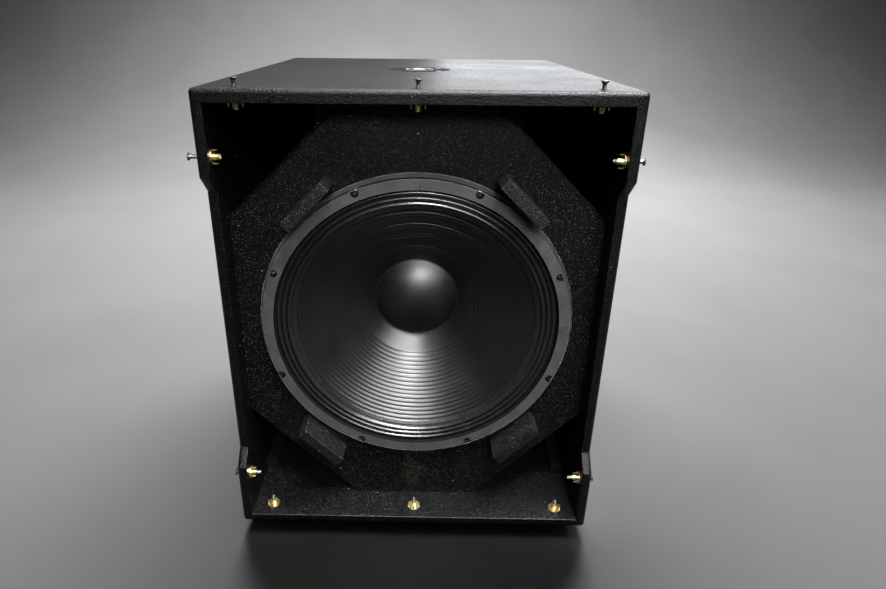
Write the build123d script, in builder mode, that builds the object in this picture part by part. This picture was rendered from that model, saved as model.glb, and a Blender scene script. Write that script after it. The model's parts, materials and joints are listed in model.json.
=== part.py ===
from build123d import *
from math import asin, cos, degrees, pi, radians, sin, tan
import os

# Vented subwoofer cabinet with one 18 inch driver, in millimetres.
# Origin: on the floor, below the middle of the cabinet. +X right, +Y to the back, +Z up.

# ---- cabinet
width = 553
inner_height = 650
depth = 620
panel_t = 15
top_panel_t = 18
edge_r = 6
inner_edge_r = 1.5
foot_h = 20

half_w = width / 2
front_y = -depth / 2
back_y = depth / 2
base_z = foot_h
inner_w = half_w - panel_t
inner_h = inner_height / 2
axis_z = base_z + panel_t + inner_h
top_z = axis_z + inner_h + top_panel_t
rear_inner_y = back_y - panel_t

# ---- recessed front edge of the side panels, heights from the driver axis
side_recess = 21
recess_half_h = 208
slope_end_half_h = 231
slope_r = 8

# ---- baffle, corner ports
baffle_setback = 54
baffle_t = 18
baffle_y = front_y + baffle_setback
baffle_back_y = baffle_y + baffle_t
port_leg = 161
port_end_y = front_y + 480
baffle_chamfer = 4.5
batten = 20
batten_y = front_y + 103
brace_y = front_y + 440
brace_window = 300
brace_window_r = 50

# ---- grille stand-off blocks, glued beside the driver rim
block_length = 80
block_width = 16
block_protrusion = 48
block_distance = 240
block_shift = {"upper_left": 32, "upper_right": 42, "lower_left": 36, "lower_right": 21}
corner_signs = {
    "upper_left": (-1, 1),
    "upper_right": (1, 1),
    "lower_left": (-1, -1),
    "lower_right": (1, -1),
}

# ---- grille fasteners, M6
grille_screw_length = 40
grille_screw_r = 2.95
grille_head_r = 5.2
grille_head_h = 3.0
tee_flange_r = 9.5
tee_flange_t = 1.2
tee_barrel_r = 4
tee_height = 10
tee_bore_r = 3
tee_prong_h = 7
tee_prong_r = 8.4
tee_prong_w = 4.8
tee_prong_tip = 0.8
tee_prong_t = 0.9
tee_hole_r = 3.5
top_site_setback = 22
bottom_site_setback = 24
side_site_setback = 18
high_site_z = 616
low_site_z = 105.5
top_screw_stand = 11
bottom_screw_stand = 7
side_screw_stands = {
    (-1, high_site_z): 16,
    (-1, low_site_z): 8,
    (1, high_site_z): 10.5,
    (1, low_site_z): 7,
}

# ---- pole mount plate in the top, M20
pole_y = front_y + 315
pole_plate_r = 52.5
pole_plate_t = 4
pole_boss_r = 18
pole_boss_h = 30
pole_bore_r = 8.65
pole_bore_depth = 27
pole_screw_circle_r = 44.5
pole_screw_r = 2.4
pole_screw_hole_r = 2.6

# ---- 18 inch driver: radii, and depths measured backwards from the baffle's front
flange_r = 230
flange_t = 4
cutout_r = 210
bolt_circle_r = 220
bolt_count = 8
bolt_start = 22.5
bolt_r = 2.95
bolt_hole_r = 3.3
bolt_head_r = 5
bolt_head_h = 6
bolt_length = 32
gasket_outer_r = 224.5
gasket_inner_r = 209
gasket_front = -15
gasket_step_deg = 1.0
gasket_gap_deg = 0.08
notch_r = 5.75
surround_t = 0.8
surround_seat_r = 214
roll_outer_r = 207.4
roll_inner_r = 184
roll_count = 3
roll_crest = -9.4
roll_valley = -5.0
cone_edge_r = 183.5
cone_edge_s = -3
cone_mid_r = 92
cone_mid_s = 63
cap_rim_r = 65.5
cap_rim_s = 85.2
cap_height = 25
cap_t = 1.0
cone_neck_s = 101
cone_t = 1.8
glue_gap = 0.5
basket_wall_r = 208
basket_inner_r = 203
basket_wall_s = 24
basket_floor_r = 104
basket_floor_inner_r = 56
basket_floor_s = 134
spider_seat_s = 126
spider_seat_r = 88
spider_outer_r = 97
spider_inner_r = 51.55
spoke_w = 14
former_inner_r = 50.8
former_r = 51.2
coil_r = 52.0
former_start_s = 97
former_end_s = 160
coil_start_s = 131
coil_end_s = 159
front_plate_s = 140
magnet_s = 150
yoke_s = 180
motor_end_s = 192
front_plate_r = 100
gap_outer_r = 52.5
pole_r = 50.4
pole_start_s = 137
vent_r = 18
magnet_r = 110
magnet_inner_r = 58
yoke_r = 98
magnet_bolt_circle_r = 76
magnet_bolt_count = 6
magnet_bolt_r = 2.65
magnet_bolt_hole_r = 3.2
magnet_bolt_depth = 8

# ---- rear connector dish
dish_z = foot_h + 200
dish_flange = (150, 110)
dish_bowl = (120, 80)
dish_depth = 32
dish_t = 2
socket_x = 28
socket_screw_inset = 13
socket_screw_r = 1.45
socket_screw_hole_r = 1.6
dish_screw_r = 1.9
dish_screw_hole_r = 2.3

# ---- side handles
handle_y = front_y + 300
handle_z = axis_z
handle_flange = (200, 130)
handle_cup = (172, 102)
handle_wall = 3
handle_depth = 60
grip_r = 11
grip_inset = 14
grip_raise = 16
handle_flange_r = 24
handle_cup_r = 18
handle_screw_r = 2.0
handle_screw_hole_r = 2.2

# ---- feet
foot_x = 215
foot_y = 250
foot_r = 20
foot_screw_r = 2.45
foot_screw_hole_r = 2.7

driver_plane = Plane(origin=(0, baffle_y, axis_z), x_dir=(1, 0, 0), z_dir=(0, 0, 1))
driver_axis = Axis((0, baffle_y, axis_z), (0, 1, 0))

os.makedirs("parts", exist_ok=True)


def finish(piece, node):
    """Label one finished piece and write it."""
    piece.part.label = node
    export_step(piece.part, f"parts/{node}.step")


def facing(y, z=axis_z):
    """Plane square to Y that looks to the front: local x is X, local y is Z."""
    return Plane(origin=(0, y, z), x_dir=(1, 0, 0), z_dir=(0, -1, 0))


def polar(radius, angle):
    """Point on a circle, angle in degrees."""
    return (radius * cos(radians(angle)), radius * sin(radians(angle)))


def outward(point, normal):
    """Location on a surface whose local Z is the outward normal."""
    return Plane(origin=point, z_dir=normal).location


def ring(inner, outer, start, end):
    """Plain turned ring about the driver axis, between two depths."""
    with BuildPart() as turned:
        with BuildSketch(facing(baffle_y + start)):
            Circle(outer)
            Circle(inner, mode=Mode.SUBTRACT)
        extrude(amount=start - end)
    return turned


def turned_profile(points):
    """Solid turned about the driver axis from a closed outline of (radius, depth)."""
    with BuildPart() as turned:
        with BuildSketch(driver_plane):
            with BuildLine():
                Polyline(*points, close=True)
            make_face()
        revolve(axis=driver_axis)
    return turned


# ---------------------------------------------------------------- fastener sites

top_sites = [(x, front_y + top_site_setback, top_z) for x in (-226, 0, 226)]
bottom_sites = [(x, front_y + bottom_site_setback, base_z) for x in (-231, 0, 231)]
side_site_y = front_y + side_site_setback

grille_sites = [(point, (0, 0, 1), top_screw_stand, top_panel_t) for point in top_sites]
grille_sites += [(point, (0, 0, -1), bottom_screw_stand, panel_t) for point in bottom_sites]
for (side, site_z), stand in side_screw_stands.items():
    grille_sites.append(((side * half_w, side_site_y, site_z), (side, 0, 0), stand, panel_t))

pole_screw_sites = [
    (x, pole_y + y) for x, y in (polar(pole_screw_circle_r, a) for a in (45, 135, 225, 315))
]
foot_sites = {
    "front_left": (-foot_x, -foot_y),
    "front_right": (foot_x, -foot_y),
    "rear_left": (-foot_x, foot_y),
    "rear_right": (foot_x, foot_y),
}
dish_screw_sites = [(x, z) for x in (-67, 67) for z in (-47, 47)]
handle_screw_sites = [(y, z) for y in (-80, 0, 80) for z in (-58, 58)]


# ---------------------------------------------------------------- cabinet shell

screw_pilot_r = 2.5
small_pilot_r = 2.05


def inner_front_round(z, up):
    """Tool that eases the inner front edge of the top or bottom panel."""
    with BuildPart(mode=Mode.PRIVATE) as tool:
        with BuildSketch(Plane.YZ.offset(-inner_w)):
            with Locations((front_y + inner_edge_r / 2, z + up * inner_edge_r / 2)):
                Rectangle(inner_edge_r, inner_edge_r)
            with Locations((front_y + inner_edge_r, z + up * inner_edge_r)):
                Circle(inner_edge_r, mode=Mode.SUBTRACT)
        extrude(amount=2 * inner_w)
    return tool.part


def flat_panel(low_z, thickness, outer_up):
    """Top or bottom panel with rounded outer edges."""
    with BuildPart(mode=Mode.PRIVATE) as panel:
        with BuildSketch(Plane.XY.offset(low_z)):
            Rectangle(width, depth)
        extrude(amount=thickness)
        fillet(panel.edges().filter_by(Axis.Z), edge_r)
        outer = panel.faces().filter_by(Axis.Z).sort_by(Axis.Z)[-1 if outer_up else 0]
        fillet(outer.edges(), edge_r)
    return panel.part


with BuildPart() as bottom_panel:
    add(flat_panel(base_z, panel_t, outer_up=False))
    add(inner_front_round(base_z + panel_t, -1), mode=Mode.SUBTRACT)
    with Locations(*[(x, y, base_z + panel_t) for x, y, _ in bottom_sites]):
        Hole(tee_hole_r)
    with Locations(*[(x, y, base_z + panel_t) for x, y in foot_sites.values()]):
        Hole(screw_pilot_r)
finish(bottom_panel, "bottom_panel")

with BuildPart() as top_panel:
    add(flat_panel(top_z - top_panel_t, top_panel_t, outer_up=True))
    add(inner_front_round(top_z - top_panel_t, 1), mode=Mode.SUBTRACT)
    with Locations(*[(x, y, top_z) for x, y, _ in top_sites]):
        Hole(tee_hole_r)
    with Locations((0, pole_y, top_z)):
        CounterBoreHole(pole_boss_r + 0.3, pole_plate_r + 0.2, pole_plate_t)
    with Locations(*[(x, y, top_z) for x, y in pole_screw_sites]):
        Hole(screw_pilot_r)
finish(top_panel, "top_panel")


def side_panel(side):
    """Side panel with the recessed front edge, the handle opening and the grille holes."""
    low = axis_z - inner_h
    high = axis_z + inner_h
    recess_y = front_y + side_recess
    outer_x = side * half_w
    start_x = outer_x if side < 0 else outer_x - panel_t
    with BuildPart() as panel:
        with BuildSketch(Plane.YZ.offset(start_x)) as outline:
            with BuildLine():
                Polyline(
                    (front_y, low),
                    (front_y, axis_z - slope_end_half_h),
                    (recess_y, axis_z - recess_half_h),
                    (recess_y, axis_z + recess_half_h),
                    (front_y, axis_z + slope_end_half_h),
                    (front_y, high),
                    (back_y, high),
                    (back_y, low),
                    close=True,
                )
            make_face()
            slope_corners = outline.vertices().filter_by(
                lambda v: v.Y < 0 and abs(v.Z - axis_z) < slope_end_half_h + 1
            )
            fillet(slope_corners, slope_r)
        extrude(amount=panel_t)
        outer_face = panel.faces().filter_by(Axis.X).sort_by(Axis.X)[-1 if side > 0 else 0]
        inner_face = panel.faces().filter_by(Axis.X).sort_by(Axis.X)[0 if side > 0 else -1]
        fillet(outer_face.edges().filter_by(lambda e: abs(e.center().Y) > depth / 4), edge_r)
        fillet(inner_face.edges().filter_by(lambda e: e.center().Y < -depth / 4), inner_edge_r)
        with BuildSketch(Plane.YZ.offset(start_x)):
            with Locations((handle_y, handle_z)):
                RectangleRounded(handle_cup[0] + 2, handle_cup[1] + 2, handle_cup_r + 1)
            with Locations(*[(handle_y + y, handle_z + z) for y, z in handle_screw_sites]):
                Circle(small_pilot_r)
            with Locations((side_site_y, low_site_z), (side_site_y, high_site_z)):
                Circle(tee_hole_r)
        extrude(amount=panel_t, mode=Mode.SUBTRACT)
    return panel


left_side_panel = side_panel(-1)
finish(left_side_panel, "left_side_panel")
right_side_panel = side_panel(1)
finish(right_side_panel, "right_side_panel")

with BuildPart() as rear_panel:
    with BuildSketch(facing(rear_inner_y)):
        Rectangle(2 * inner_w, 2 * inner_h)
    extrude(amount=-panel_t)
    with BuildSketch(facing(back_y, dish_z)):
        RectangleRounded(dish_flange[0] + 0.6, dish_flange[1] + 0.6, 10)
    extrude(amount=dish_t, mode=Mode.SUBTRACT)
    with BuildSketch(facing(back_y, dish_z)):
        RectangleRounded(dish_bowl[0] + 2, dish_bowl[1] + 2, 9)
        with Locations(*dish_screw_sites):
            Circle(small_pilot_r)
    extrude(amount=panel_t, mode=Mode.SUBTRACT)
finish(rear_panel, "rear_panel")

# ---------------------------------------------------------------- baffle and ports

shelf_half_w = inner_w - port_leg
wall_top = inner_h - port_leg
octagon = [
    (-shelf_half_w, -inner_h),
    (shelf_half_w, -inner_h),
    (inner_w, -wall_top),
    (inner_w, wall_top),
    (shelf_half_w, inner_h),
    (-shelf_half_w, inner_h),
    (-inner_w, wall_top),
    (-inner_w, -wall_top),
]
insert_depth = 10

with BuildPart() as front_baffle:
    with BuildSketch(facing(baffle_y)):
        with BuildLine():
            Polyline(*octagon, close=True)
        make_face()
        Circle(cutout_r, mode=Mode.SUBTRACT)
        with PolarLocations(bolt_circle_r, bolt_count, start_angle=bolt_start):
            Circle(bolt_hole_r, mode=Mode.SUBTRACT)
    extrude(amount=-baffle_t)
    with BuildSketch(facing(baffle_back_y)):
        with PolarLocations(bolt_circle_r, bolt_count, start_angle=bolt_start):
            Circle(tee_barrel_r + 0.1)
    extrude(amount=insert_depth, mode=Mode.SUBTRACT)
    port_edges = (
        front_baffle.faces()
        .filter_by(Axis.Y)
        .sort_by(Axis.Y)[0]
        .edges()
        .filter_by(GeomType.LINE)
        .filter_by(lambda e: abs(abs(e.tangent_at(0.5).X) - abs(e.tangent_at(0.5).Z)) < 0.1)
    )
    chamfer(port_edges, baffle_chamfer)
finish(front_baffle, "front_baffle")

wall_skew = panel_t * 2**0.5
for corner, (sx, sz) in corner_signs.items():
    with BuildPart() as port_wall:
        with BuildSketch(facing(baffle_back_y)):
            with BuildLine():
                Polyline(
                    (sx * shelf_half_w, sz * inner_h),
                    (sx * inner_w, sz * wall_top),
                    (sx * inner_w, sz * (wall_top - wall_skew)),
                    (sx * (shelf_half_w - wall_skew), sz * inner_h),
                    close=True,
                )
            make_face()
        extrude(amount=baffle_back_y - port_end_y)
    finish(port_wall, f"port_wall_{corner}")

    with BuildPart() as corner_batten:
        with BuildSketch(facing(batten_y)):
            with Locations((sx * (inner_w - batten / 2), sz * (inner_h - batten / 2))):
                Rectangle(batten, batten)
        extrude(amount=batten_y - rear_inner_y)
        fillet(corner_batten.edges().filter_by(Axis.Y), 1)
    finish(corner_batten, f"corner_batten_{corner}")

    along = block_shift[corner]
    block_x = sx * (block_distance - along) / 2**0.5
    block_z = sz * (block_distance + along) / 2**0.5
    with BuildPart() as grille_block:
        with BuildSketch(facing(baffle_y)):
            with Locations(Location((block_x, block_z, 0), (0, 0, -45 * sx * sz))):
                Rectangle(block_length, block_width)
        extrude(amount=block_protrusion)
        fillet(grille_block.edges().filter_by(Axis.Y), 1)
        fillet(grille_block.faces().sort_by(Axis.Y)[0].edges(), 0.8)
    finish(grille_block, f"grille_block_{corner}")

with BuildPart() as window_brace:
    with BuildSketch(facing(brace_y)):
        with BuildLine():
            Polyline(
                (-(shelf_half_w - wall_skew), -inner_h),
                (shelf_half_w - wall_skew, -inner_h),
                (inner_w, -(wall_top - wall_skew)),
                (inner_w, wall_top - wall_skew),
                (shelf_half_w - wall_skew, inner_h),
                (-(shelf_half_w - wall_skew), inner_h),
                (-inner_w, wall_top - wall_skew),
                (-inner_w, -(wall_top - wall_skew)),
                close=True,
            )
        make_face()
        RectangleRounded(brace_window, brace_window, brace_window_r, mode=Mode.SUBTRACT)
    extrude(amount=-panel_t)
finish(window_brace, "window_brace")

mat_t = 20
mat_margin = 30
with BuildPart() as damping_mat:
    with BuildSketch(facing(rear_inner_y)):
        RectangleRounded(2 * (inner_w - mat_margin), 2 * (inner_h - mat_margin), 12)
        with Locations((0, dish_z - axis_z)):
            RectangleRounded(dish_bowl[0] + 30, dish_bowl[1] + 30, 12, mode=Mode.SUBTRACT)
    extrude(amount=mat_t)
finish(damping_mat, "damping_mat")

# ---------------------------------------------------------------- grille screws and tee nuts

with BuildPart() as one_tee_nut:
    with BuildSketch(Plane.XY):
        Circle(tee_flange_r)
    extrude(amount=tee_flange_t)
    with BuildSketch(Plane.XY):
        Circle(tee_barrel_r)
    extrude(amount=tee_height)
    for quarter in range(4):
        turn = (cos(radians(90 * quarter)), sin(radians(90 * quarter)), 0)
        prong_foot = [c * tee_prong_r for c in turn]
        with BuildSketch(Plane(origin=prong_foot, x_dir=(-turn[1], turn[0], 0), z_dir=turn)):
            with BuildLine():
                Polyline(
                    (-tee_prong_w / 2, tee_flange_t / 2),
                    (tee_prong_w / 2, tee_flange_t / 2),
                    (tee_prong_tip / 2, tee_prong_h),
                    (-tee_prong_tip / 2, tee_prong_h),
                    close=True,
                )
            make_face()
        extrude(amount=tee_prong_t)
    Hole(tee_bore_r)

with BuildPart() as grille_tee_nuts:
    for point, normal, _, wall in grille_sites:
        inside = [p - n * wall for p, n in zip(point, normal)]
        with Locations(outward(inside, [-n for n in normal])):
            add(one_tee_nut.part)
finish(grille_tee_nuts, "grille_tee_nuts")


def countersunk_screw(head_r, head_h, shank_r, length, recess_r, recess_h):
    """Countersunk screw, head up at z = 0, with a socket in the head."""
    with BuildPart(mode=Mode.PRIVATE) as screw:
        with BuildSketch(Plane.XZ):
            with BuildLine():
                Polyline(
                    (0, 0),
                    (head_r, 0),
                    (head_r, -0.4),
                    (shank_r, -head_h),
                    (shank_r, -length + 1),
                    (shank_r - 0.8, -length),
                    (0, -length),
                    close=True,
                )
            make_face()
        revolve(axis=Axis.Z)
        with BuildSketch(Plane.XY):
            RegularPolygon(recess_r, 6)
        extrude(amount=-recess_h, mode=Mode.SUBTRACT)
    return screw.part


def pan_screw(head_r, head_h, shank_r, length, recess_r, recess_h):
    """Screw with a low round head above z = 0 and its shank below."""
    with BuildPart(mode=Mode.PRIVATE) as screw:
        with BuildSketch(Plane.XY):
            Circle(head_r)
        extrude(amount=head_h)
        fillet(screw.edges().sort_by(Axis.Z)[-1], head_h * 0.4)
        with BuildSketch(Plane.XY):
            Circle(shank_r)
        extrude(amount=-length)
        with BuildSketch(Plane.XY.offset(head_h)):
            RegularPolygon(recess_r, 6)
        extrude(amount=-recess_h, mode=Mode.SUBTRACT)
    return screw.part


one_grille_screw = countersunk_screw(
    grille_head_r, grille_head_h, grille_screw_r, grille_screw_length, recess_r=2, recess_h=2
)
with BuildPart() as grille_screws:
    for point, normal, stand, _ in grille_sites:
        head = [p + n * stand for p, n in zip(point, normal)]
        with Locations(outward(head, normal)):
            add(one_grille_screw)
finish(grille_screws, "grille_screws")

# ---------------------------------------------------------------- pole mount plate

with BuildPart() as pole_mount_plate:
    with BuildSketch(Plane.XY.offset(top_z)):
        with Locations((0, pole_y)):
            Circle(pole_plate_r)
    extrude(amount=-pole_plate_t)
    with BuildSketch(Plane.XY.offset(top_z)):
        with Locations((0, pole_y)):
            Circle(pole_boss_r)
    extrude(amount=-pole_boss_h)
    with BuildSketch(Plane.XY.offset(top_z)):
        with Locations((0, pole_y)):
            Circle(pole_bore_r)
    extrude(amount=-pole_bore_depth, mode=Mode.SUBTRACT)
    with Locations(*[(x, y, top_z) for x, y in pole_screw_sites]):
        CounterSinkHole(pole_screw_hole_r, 5.2, counter_sink_angle=90)
finish(pole_mount_plate, "pole_mount_plate")

one_pole_screw = countersunk_screw(4.7, 2.5, pole_screw_r, 14, recess_r=1.8, recess_h=1.4)
with BuildPart() as pole_mount_screws:
    with Locations(*[(x, y, top_z) for x, y in pole_screw_sites]):
        add(one_pole_screw)
finish(pole_mount_screws, "pole_mount_screws")

# ---------------------------------------------------------------- feet

foot_bore_r = 7
foot_bore_depth = 11
for corner, (x, y) in foot_sites.items():
    with BuildPart() as rubber_foot:
        with BuildSketch(Plane.XY.offset(foot_h)):
            with Locations((x, y)):
                Circle(foot_r)
        extrude(amount=-foot_h, taper=5)
        fillet(rubber_foot.faces().sort_by(Axis.Z)[0].edges(), 1.5)
        with Locations(Location((x, y, 0), (180, 0, 0))):
            CounterBoreHole(foot_screw_hole_r, foot_bore_r, foot_bore_depth)
    finish(rubber_foot, f"rubber_foot_{corner}")

one_foot_screw = pan_screw(5.5, 3.5, foot_screw_r, 21, recess_r=2, recess_h=2)
with BuildPart() as foot_screws:
    with Locations(*[Location((x, y, foot_bore_depth), (180, 0, 0)) for x, y in foot_sites.values()]):
        add(one_foot_screw)
finish(foot_screws, "foot_screws")

# ---------------------------------------------------------------- rear connector dish

socket_flange = 36
socket_t = 3
socket_body_r = 15
socket_body_depth = 22
socket_ring_r = 12
socket_core_r = 6.5
socket_cavity = 18
socket_tab_half = 6
socket_tab_length = 9
socket_tab_w = 5
socket_tab_t = 1
floor_y = back_y - dish_depth
socket_screw_offsets = (-socket_screw_inset, socket_screw_inset)

with BuildPart() as connector_dish:
    with BuildSketch(facing(back_y, dish_z)):
        RectangleRounded(*dish_flange, 9.7)
    extrude(amount=dish_t)
    with BuildSketch(facing(back_y, dish_z)):
        RectangleRounded(*dish_bowl, 8)
    extrude(amount=dish_depth + dish_t)
    with BuildSketch(facing(back_y, dish_z)):
        RectangleRounded(dish_bowl[0] - 2 * dish_t, dish_bowl[1] - 2 * dish_t, 6)
    extrude(amount=dish_depth, mode=Mode.SUBTRACT)
    with BuildSketch(facing(back_y, dish_z)):
        with Locations((-socket_x, 0), (socket_x, 0)):
            Circle(socket_body_r + 0.3)
        with Locations(*[(x + d, d) for x in (-socket_x, socket_x) for d in socket_screw_offsets]):
            Circle(socket_screw_hole_r)
        with Locations(*dish_screw_sites):
            Circle(dish_screw_hole_r)
    extrude(amount=dish_depth + dish_t, mode=Mode.SUBTRACT)
    with Locations(*[Location((x, back_y, dish_z + z), (-90, 0, 0)) for x, z in dish_screw_sites]):
        CounterSinkHole(dish_screw_hole_r, 4.2, depth=dish_t, counter_sink_angle=90)
finish(connector_dish, "connector_dish")

one_dish_screw = countersunk_screw(3.4, 1.8, dish_screw_r, 13, recess_r=1.3, recess_h=1.0)
with BuildPart() as dish_screws:
    with Locations(*[Location((x, back_y, dish_z + z), (-90, 0, 0)) for x, z in dish_screw_sites]):
        add(one_dish_screw)
finish(dish_screws, "dish_screws")



def socket_plane(x, y, toward=-1):
    """Plane on a socket's axis; toward is -1 when it looks to the front and 1 when it looks to the back."""
    return Plane(origin=(x, y, dish_z), x_dir=(1, 0, 0), z_dir=(0, toward, 0))


for node, x in {"input_socket": -socket_x, "link_socket": socket_x}.items():
    face_y = floor_y + socket_t
    with BuildPart() as socket:
        with BuildSketch(socket_plane(x, floor_y, toward=1)):
            RectangleRounded(socket_flange, socket_flange, 4)
        extrude(amount=socket_t)
        with BuildSketch(socket_plane(x, floor_y)):
            Circle(socket_body_r)
        extrude(amount=socket_body_depth)
        with BuildSketch(socket_plane(x, face_y)):
            Circle(socket_ring_r)
            Circle(socket_core_r, mode=Mode.SUBTRACT)
        extrude(amount=socket_cavity, mode=Mode.SUBTRACT)
        with BuildSketch(socket_plane(x, face_y)):
            with Locations(*[(d, d) for d in socket_screw_offsets]):
                Circle(socket_screw_hole_r)
        extrude(amount=socket_t, mode=Mode.SUBTRACT)
        with BuildSketch(socket_plane(x, floor_y - socket_body_depth)):
            with GridLocations(2 * socket_tab_half, 2 * socket_tab_half, 2, 2):
                Rectangle(socket_tab_w, socket_tab_t)
        extrude(amount=socket_tab_length)
    finish(socket, node)

one_socket_screw = pan_screw(2.8, 1.6, socket_screw_r, 8, recess_r=1, recess_h=0.8)
with BuildPart() as socket_screws:
    for x in (-socket_x, socket_x):
        for d in socket_screw_offsets:
            with Locations(Location((x + d, floor_y + socket_t, dish_z + d), (-90, 0, 0))):
                add(one_socket_screw)
finish(socket_screws, "socket_screws")

# ---------------------------------------------------------------- side handles


def side_handle(side):
    """Recessed handle: flanged cup with a round grip bar moulded across it."""
    mouth = Plane(origin=(side * half_w, handle_y, handle_z), x_dir=(0, 1, 0), z_dir=(side, 0, 0))
    with BuildPart() as handle:
        with BuildSketch(mouth):
            RectangleRounded(*handle_flange, handle_flange_r)
        extrude(amount=handle_wall)
        fillet(handle.faces().sort_by(Axis.X)[-1 if side > 0 else 0].edges(), 2)
        with BuildSketch(mouth):
            RectangleRounded(*handle_cup, handle_cup_r)
        extrude(amount=-handle_depth)
        with BuildSketch(mouth.offset(handle_wall)):
            RectangleRounded(
                handle_cup[0] - 2 * handle_wall, handle_cup[1] - 2 * handle_wall, handle_cup_r - handle_wall
            )
        extrude(amount=-handle_depth, mode=Mode.SUBTRACT)
        bar_end = (side * (half_w - grip_inset), handle_y - handle_cup[0] / 2 + 1, handle_z + grip_raise)
        with BuildSketch(Plane(origin=bar_end, x_dir=(1, 0, 0), z_dir=(0, 1, 0))):
            Circle(grip_r)
        extrude(amount=handle_cup[0] - 2)
        with BuildSketch(mouth.offset(handle_wall)):
            with Locations(*[(y, side * z) for y, z in handle_screw_sites]):
                Circle(handle_screw_hole_r)
        extrude(amount=-handle_wall, mode=Mode.SUBTRACT)
    return handle


side_handle_left = side_handle(-1)
finish(side_handle_left, "side_handle_left")
side_handle_right = side_handle(1)
finish(side_handle_right, "side_handle_right")

one_handle_screw = pan_screw(4.2, 2.4, handle_screw_r, 17, recess_r=1.6, recess_h=1.4)
with BuildPart() as handle_screws:
    for side in (-1, 1):
        for y, z in handle_screw_sites:
            seat = (side * (half_w + handle_wall), handle_y + y, handle_z + z)
            with Locations(outward(seat, (side, 0, 0))):
                add(one_handle_screw)
finish(handle_screws, "handle_screws")

# ---------------------------------------------------------------- driver: frame and motor

with BuildPart() as driver_basket:
    add(ring(basket_inner_r, flange_r, -flange_t, 0).part)
    add(ring(basket_inner_r, basket_wall_r, 0, basket_wall_s).part)
    add(ring(basket_floor_inner_r, basket_floor_r, basket_floor_s, front_plate_s).part)
    add(ring(spider_seat_r, basket_floor_r, spider_seat_s, basket_floor_s).part)
    for k in range(bolt_count):
        c, s = polar(1, bolt_start + k * 360 / bolt_count)
        spoke_plane = Plane(origin=(0, baffle_y, axis_z), x_dir=(c, 0, s), z_dir=(-s, 0, c))
        with BuildSketch(spoke_plane):
            with BuildLine():
                Polyline(
                    (basket_inner_r, 4),
                    (basket_wall_r, 4),
                    (basket_wall_r, basket_wall_s),
                    (basket_floor_r, front_plate_s),
                    (basket_floor_r - 6, front_plate_s),
                    (basket_floor_r - 6, spider_seat_s),
                    (basket_inner_r, basket_wall_s - 4),
                    close=True,
                )
            make_face()
        extrude(amount=spoke_w / 2, both=True)
    with BuildSketch(facing(baffle_y - flange_t)):
        with PolarLocations(bolt_circle_r, bolt_count, start_angle=bolt_start):
            Circle(bolt_hole_r)
    extrude(amount=-flange_t, mode=Mode.SUBTRACT)
    with BuildSketch(facing(baffle_y + basket_floor_s)):
        with PolarLocations(magnet_bolt_circle_r, magnet_bolt_count):
            Circle(magnet_bolt_hole_r)
    extrude(amount=basket_floor_s - front_plate_s, mode=Mode.SUBTRACT)
finish(driver_basket, "driver_basket")

with BuildPart() as front_pole_plate:
    add(ring(gap_outer_r, front_plate_r, front_plate_s, magnet_s).part)
    with BuildSketch(facing(baffle_y + front_plate_s)):
        with PolarLocations(magnet_bolt_circle_r, magnet_bolt_count):
            Circle(magnet_bolt_r + 0.05)
    extrude(amount=-magnet_bolt_depth, mode=Mode.SUBTRACT)
finish(front_pole_plate, "front_pole_plate")

magnet_ring = ring(magnet_inner_r, magnet_r, magnet_s, yoke_s)
finish(magnet_ring, "magnet_ring")

vent_mouth_r = vent_r + 6
yoke = turned_profile(
    [
        (vent_r, pole_start_s),
        (pole_r, pole_start_s),
        (pole_r, yoke_s),
        (yoke_r, yoke_s),
        (yoke_r, motor_end_s - 3),
        (yoke_r - 3, motor_end_s),
        (vent_mouth_r, motor_end_s),
        (vent_r, motor_end_s - 6),
    ]
)
finish(yoke, "yoke")

vent_mesh = ring(0.5, vent_r - 0.05, motor_end_s - 9, motor_end_s - 8)
finish(vent_mesh, "vent_mesh")

one_magnet_bolt = pan_screw(5, 3, magnet_bolt_r, 13, recess_r=2, recess_h=1.6)
with BuildPart() as magnet_bolts:
    for k in range(magnet_bolt_count):
        x, z = polar(magnet_bolt_circle_r, k * 360 / magnet_bolt_count)
        with Locations(outward((x, baffle_y + basket_floor_s, axis_z + z), (0, -1, 0))):
            add(one_magnet_bolt)
finish(magnet_bolts, "magnet_bolts")

# ---------------------------------------------------------------- driver: moving parts

cap_drop = 0.9
with BuildPart() as cone:
    with BuildSketch(driver_plane):
        with BuildLine():
            edge = (cone_edge_r, cone_edge_s)
            middle = (cone_mid_r, cone_mid_s)
            cap_seat = (cap_rim_r, cap_rim_s + cap_drop)
            neck = (former_r, cone_neck_s)
            ThreePointArc(edge, middle, cap_seat)
            Line(cap_seat, neck)
            Line(neck, (former_r, cone_neck_s + cone_t))
            Line((former_r, cone_neck_s + cone_t), (cap_rim_r, cap_seat[1] + cone_t))
            ThreePointArc(
                (cap_rim_r, cap_seat[1] + cone_t),
                (cone_mid_r, cone_mid_s + cone_t),
                (cone_edge_r, cone_edge_s + cone_t),
            )
            Line((cone_edge_r, cone_edge_s + cone_t), edge)
        make_face()
    revolve(axis=driver_axis)
finish(cone, "cone")

cap_sphere_r = (cap_rim_r**2 + cap_height**2) / (2 * cap_height)
cap_center = (0, cap_rim_s - cap_height + cap_sphere_r)
cap_angle = degrees(asin(cap_rim_r / cap_sphere_r))
with BuildPart() as dust_cap:
    with BuildSketch(driver_plane):
        with BuildLine():
            front = CenterArc(cap_center, cap_sphere_r, -90, cap_angle)
            back = CenterArc(cap_center, cap_sphere_r - cap_t, -90, cap_angle)
            Line(front @ 0, back @ 0)
            Line(front @ 1, back @ 1)
        make_face()
    revolve(axis=driver_axis)
finish(dust_cap, "dust_cap")

voice_coil_former = ring(former_inner_r, former_r, former_start_s, former_end_s)
finish(voice_coil_former, "voice_coil_former")

voice_coil = ring(former_r, coil_r, coil_start_s, coil_end_s)
finish(voice_coil, "voice_coil")

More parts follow.
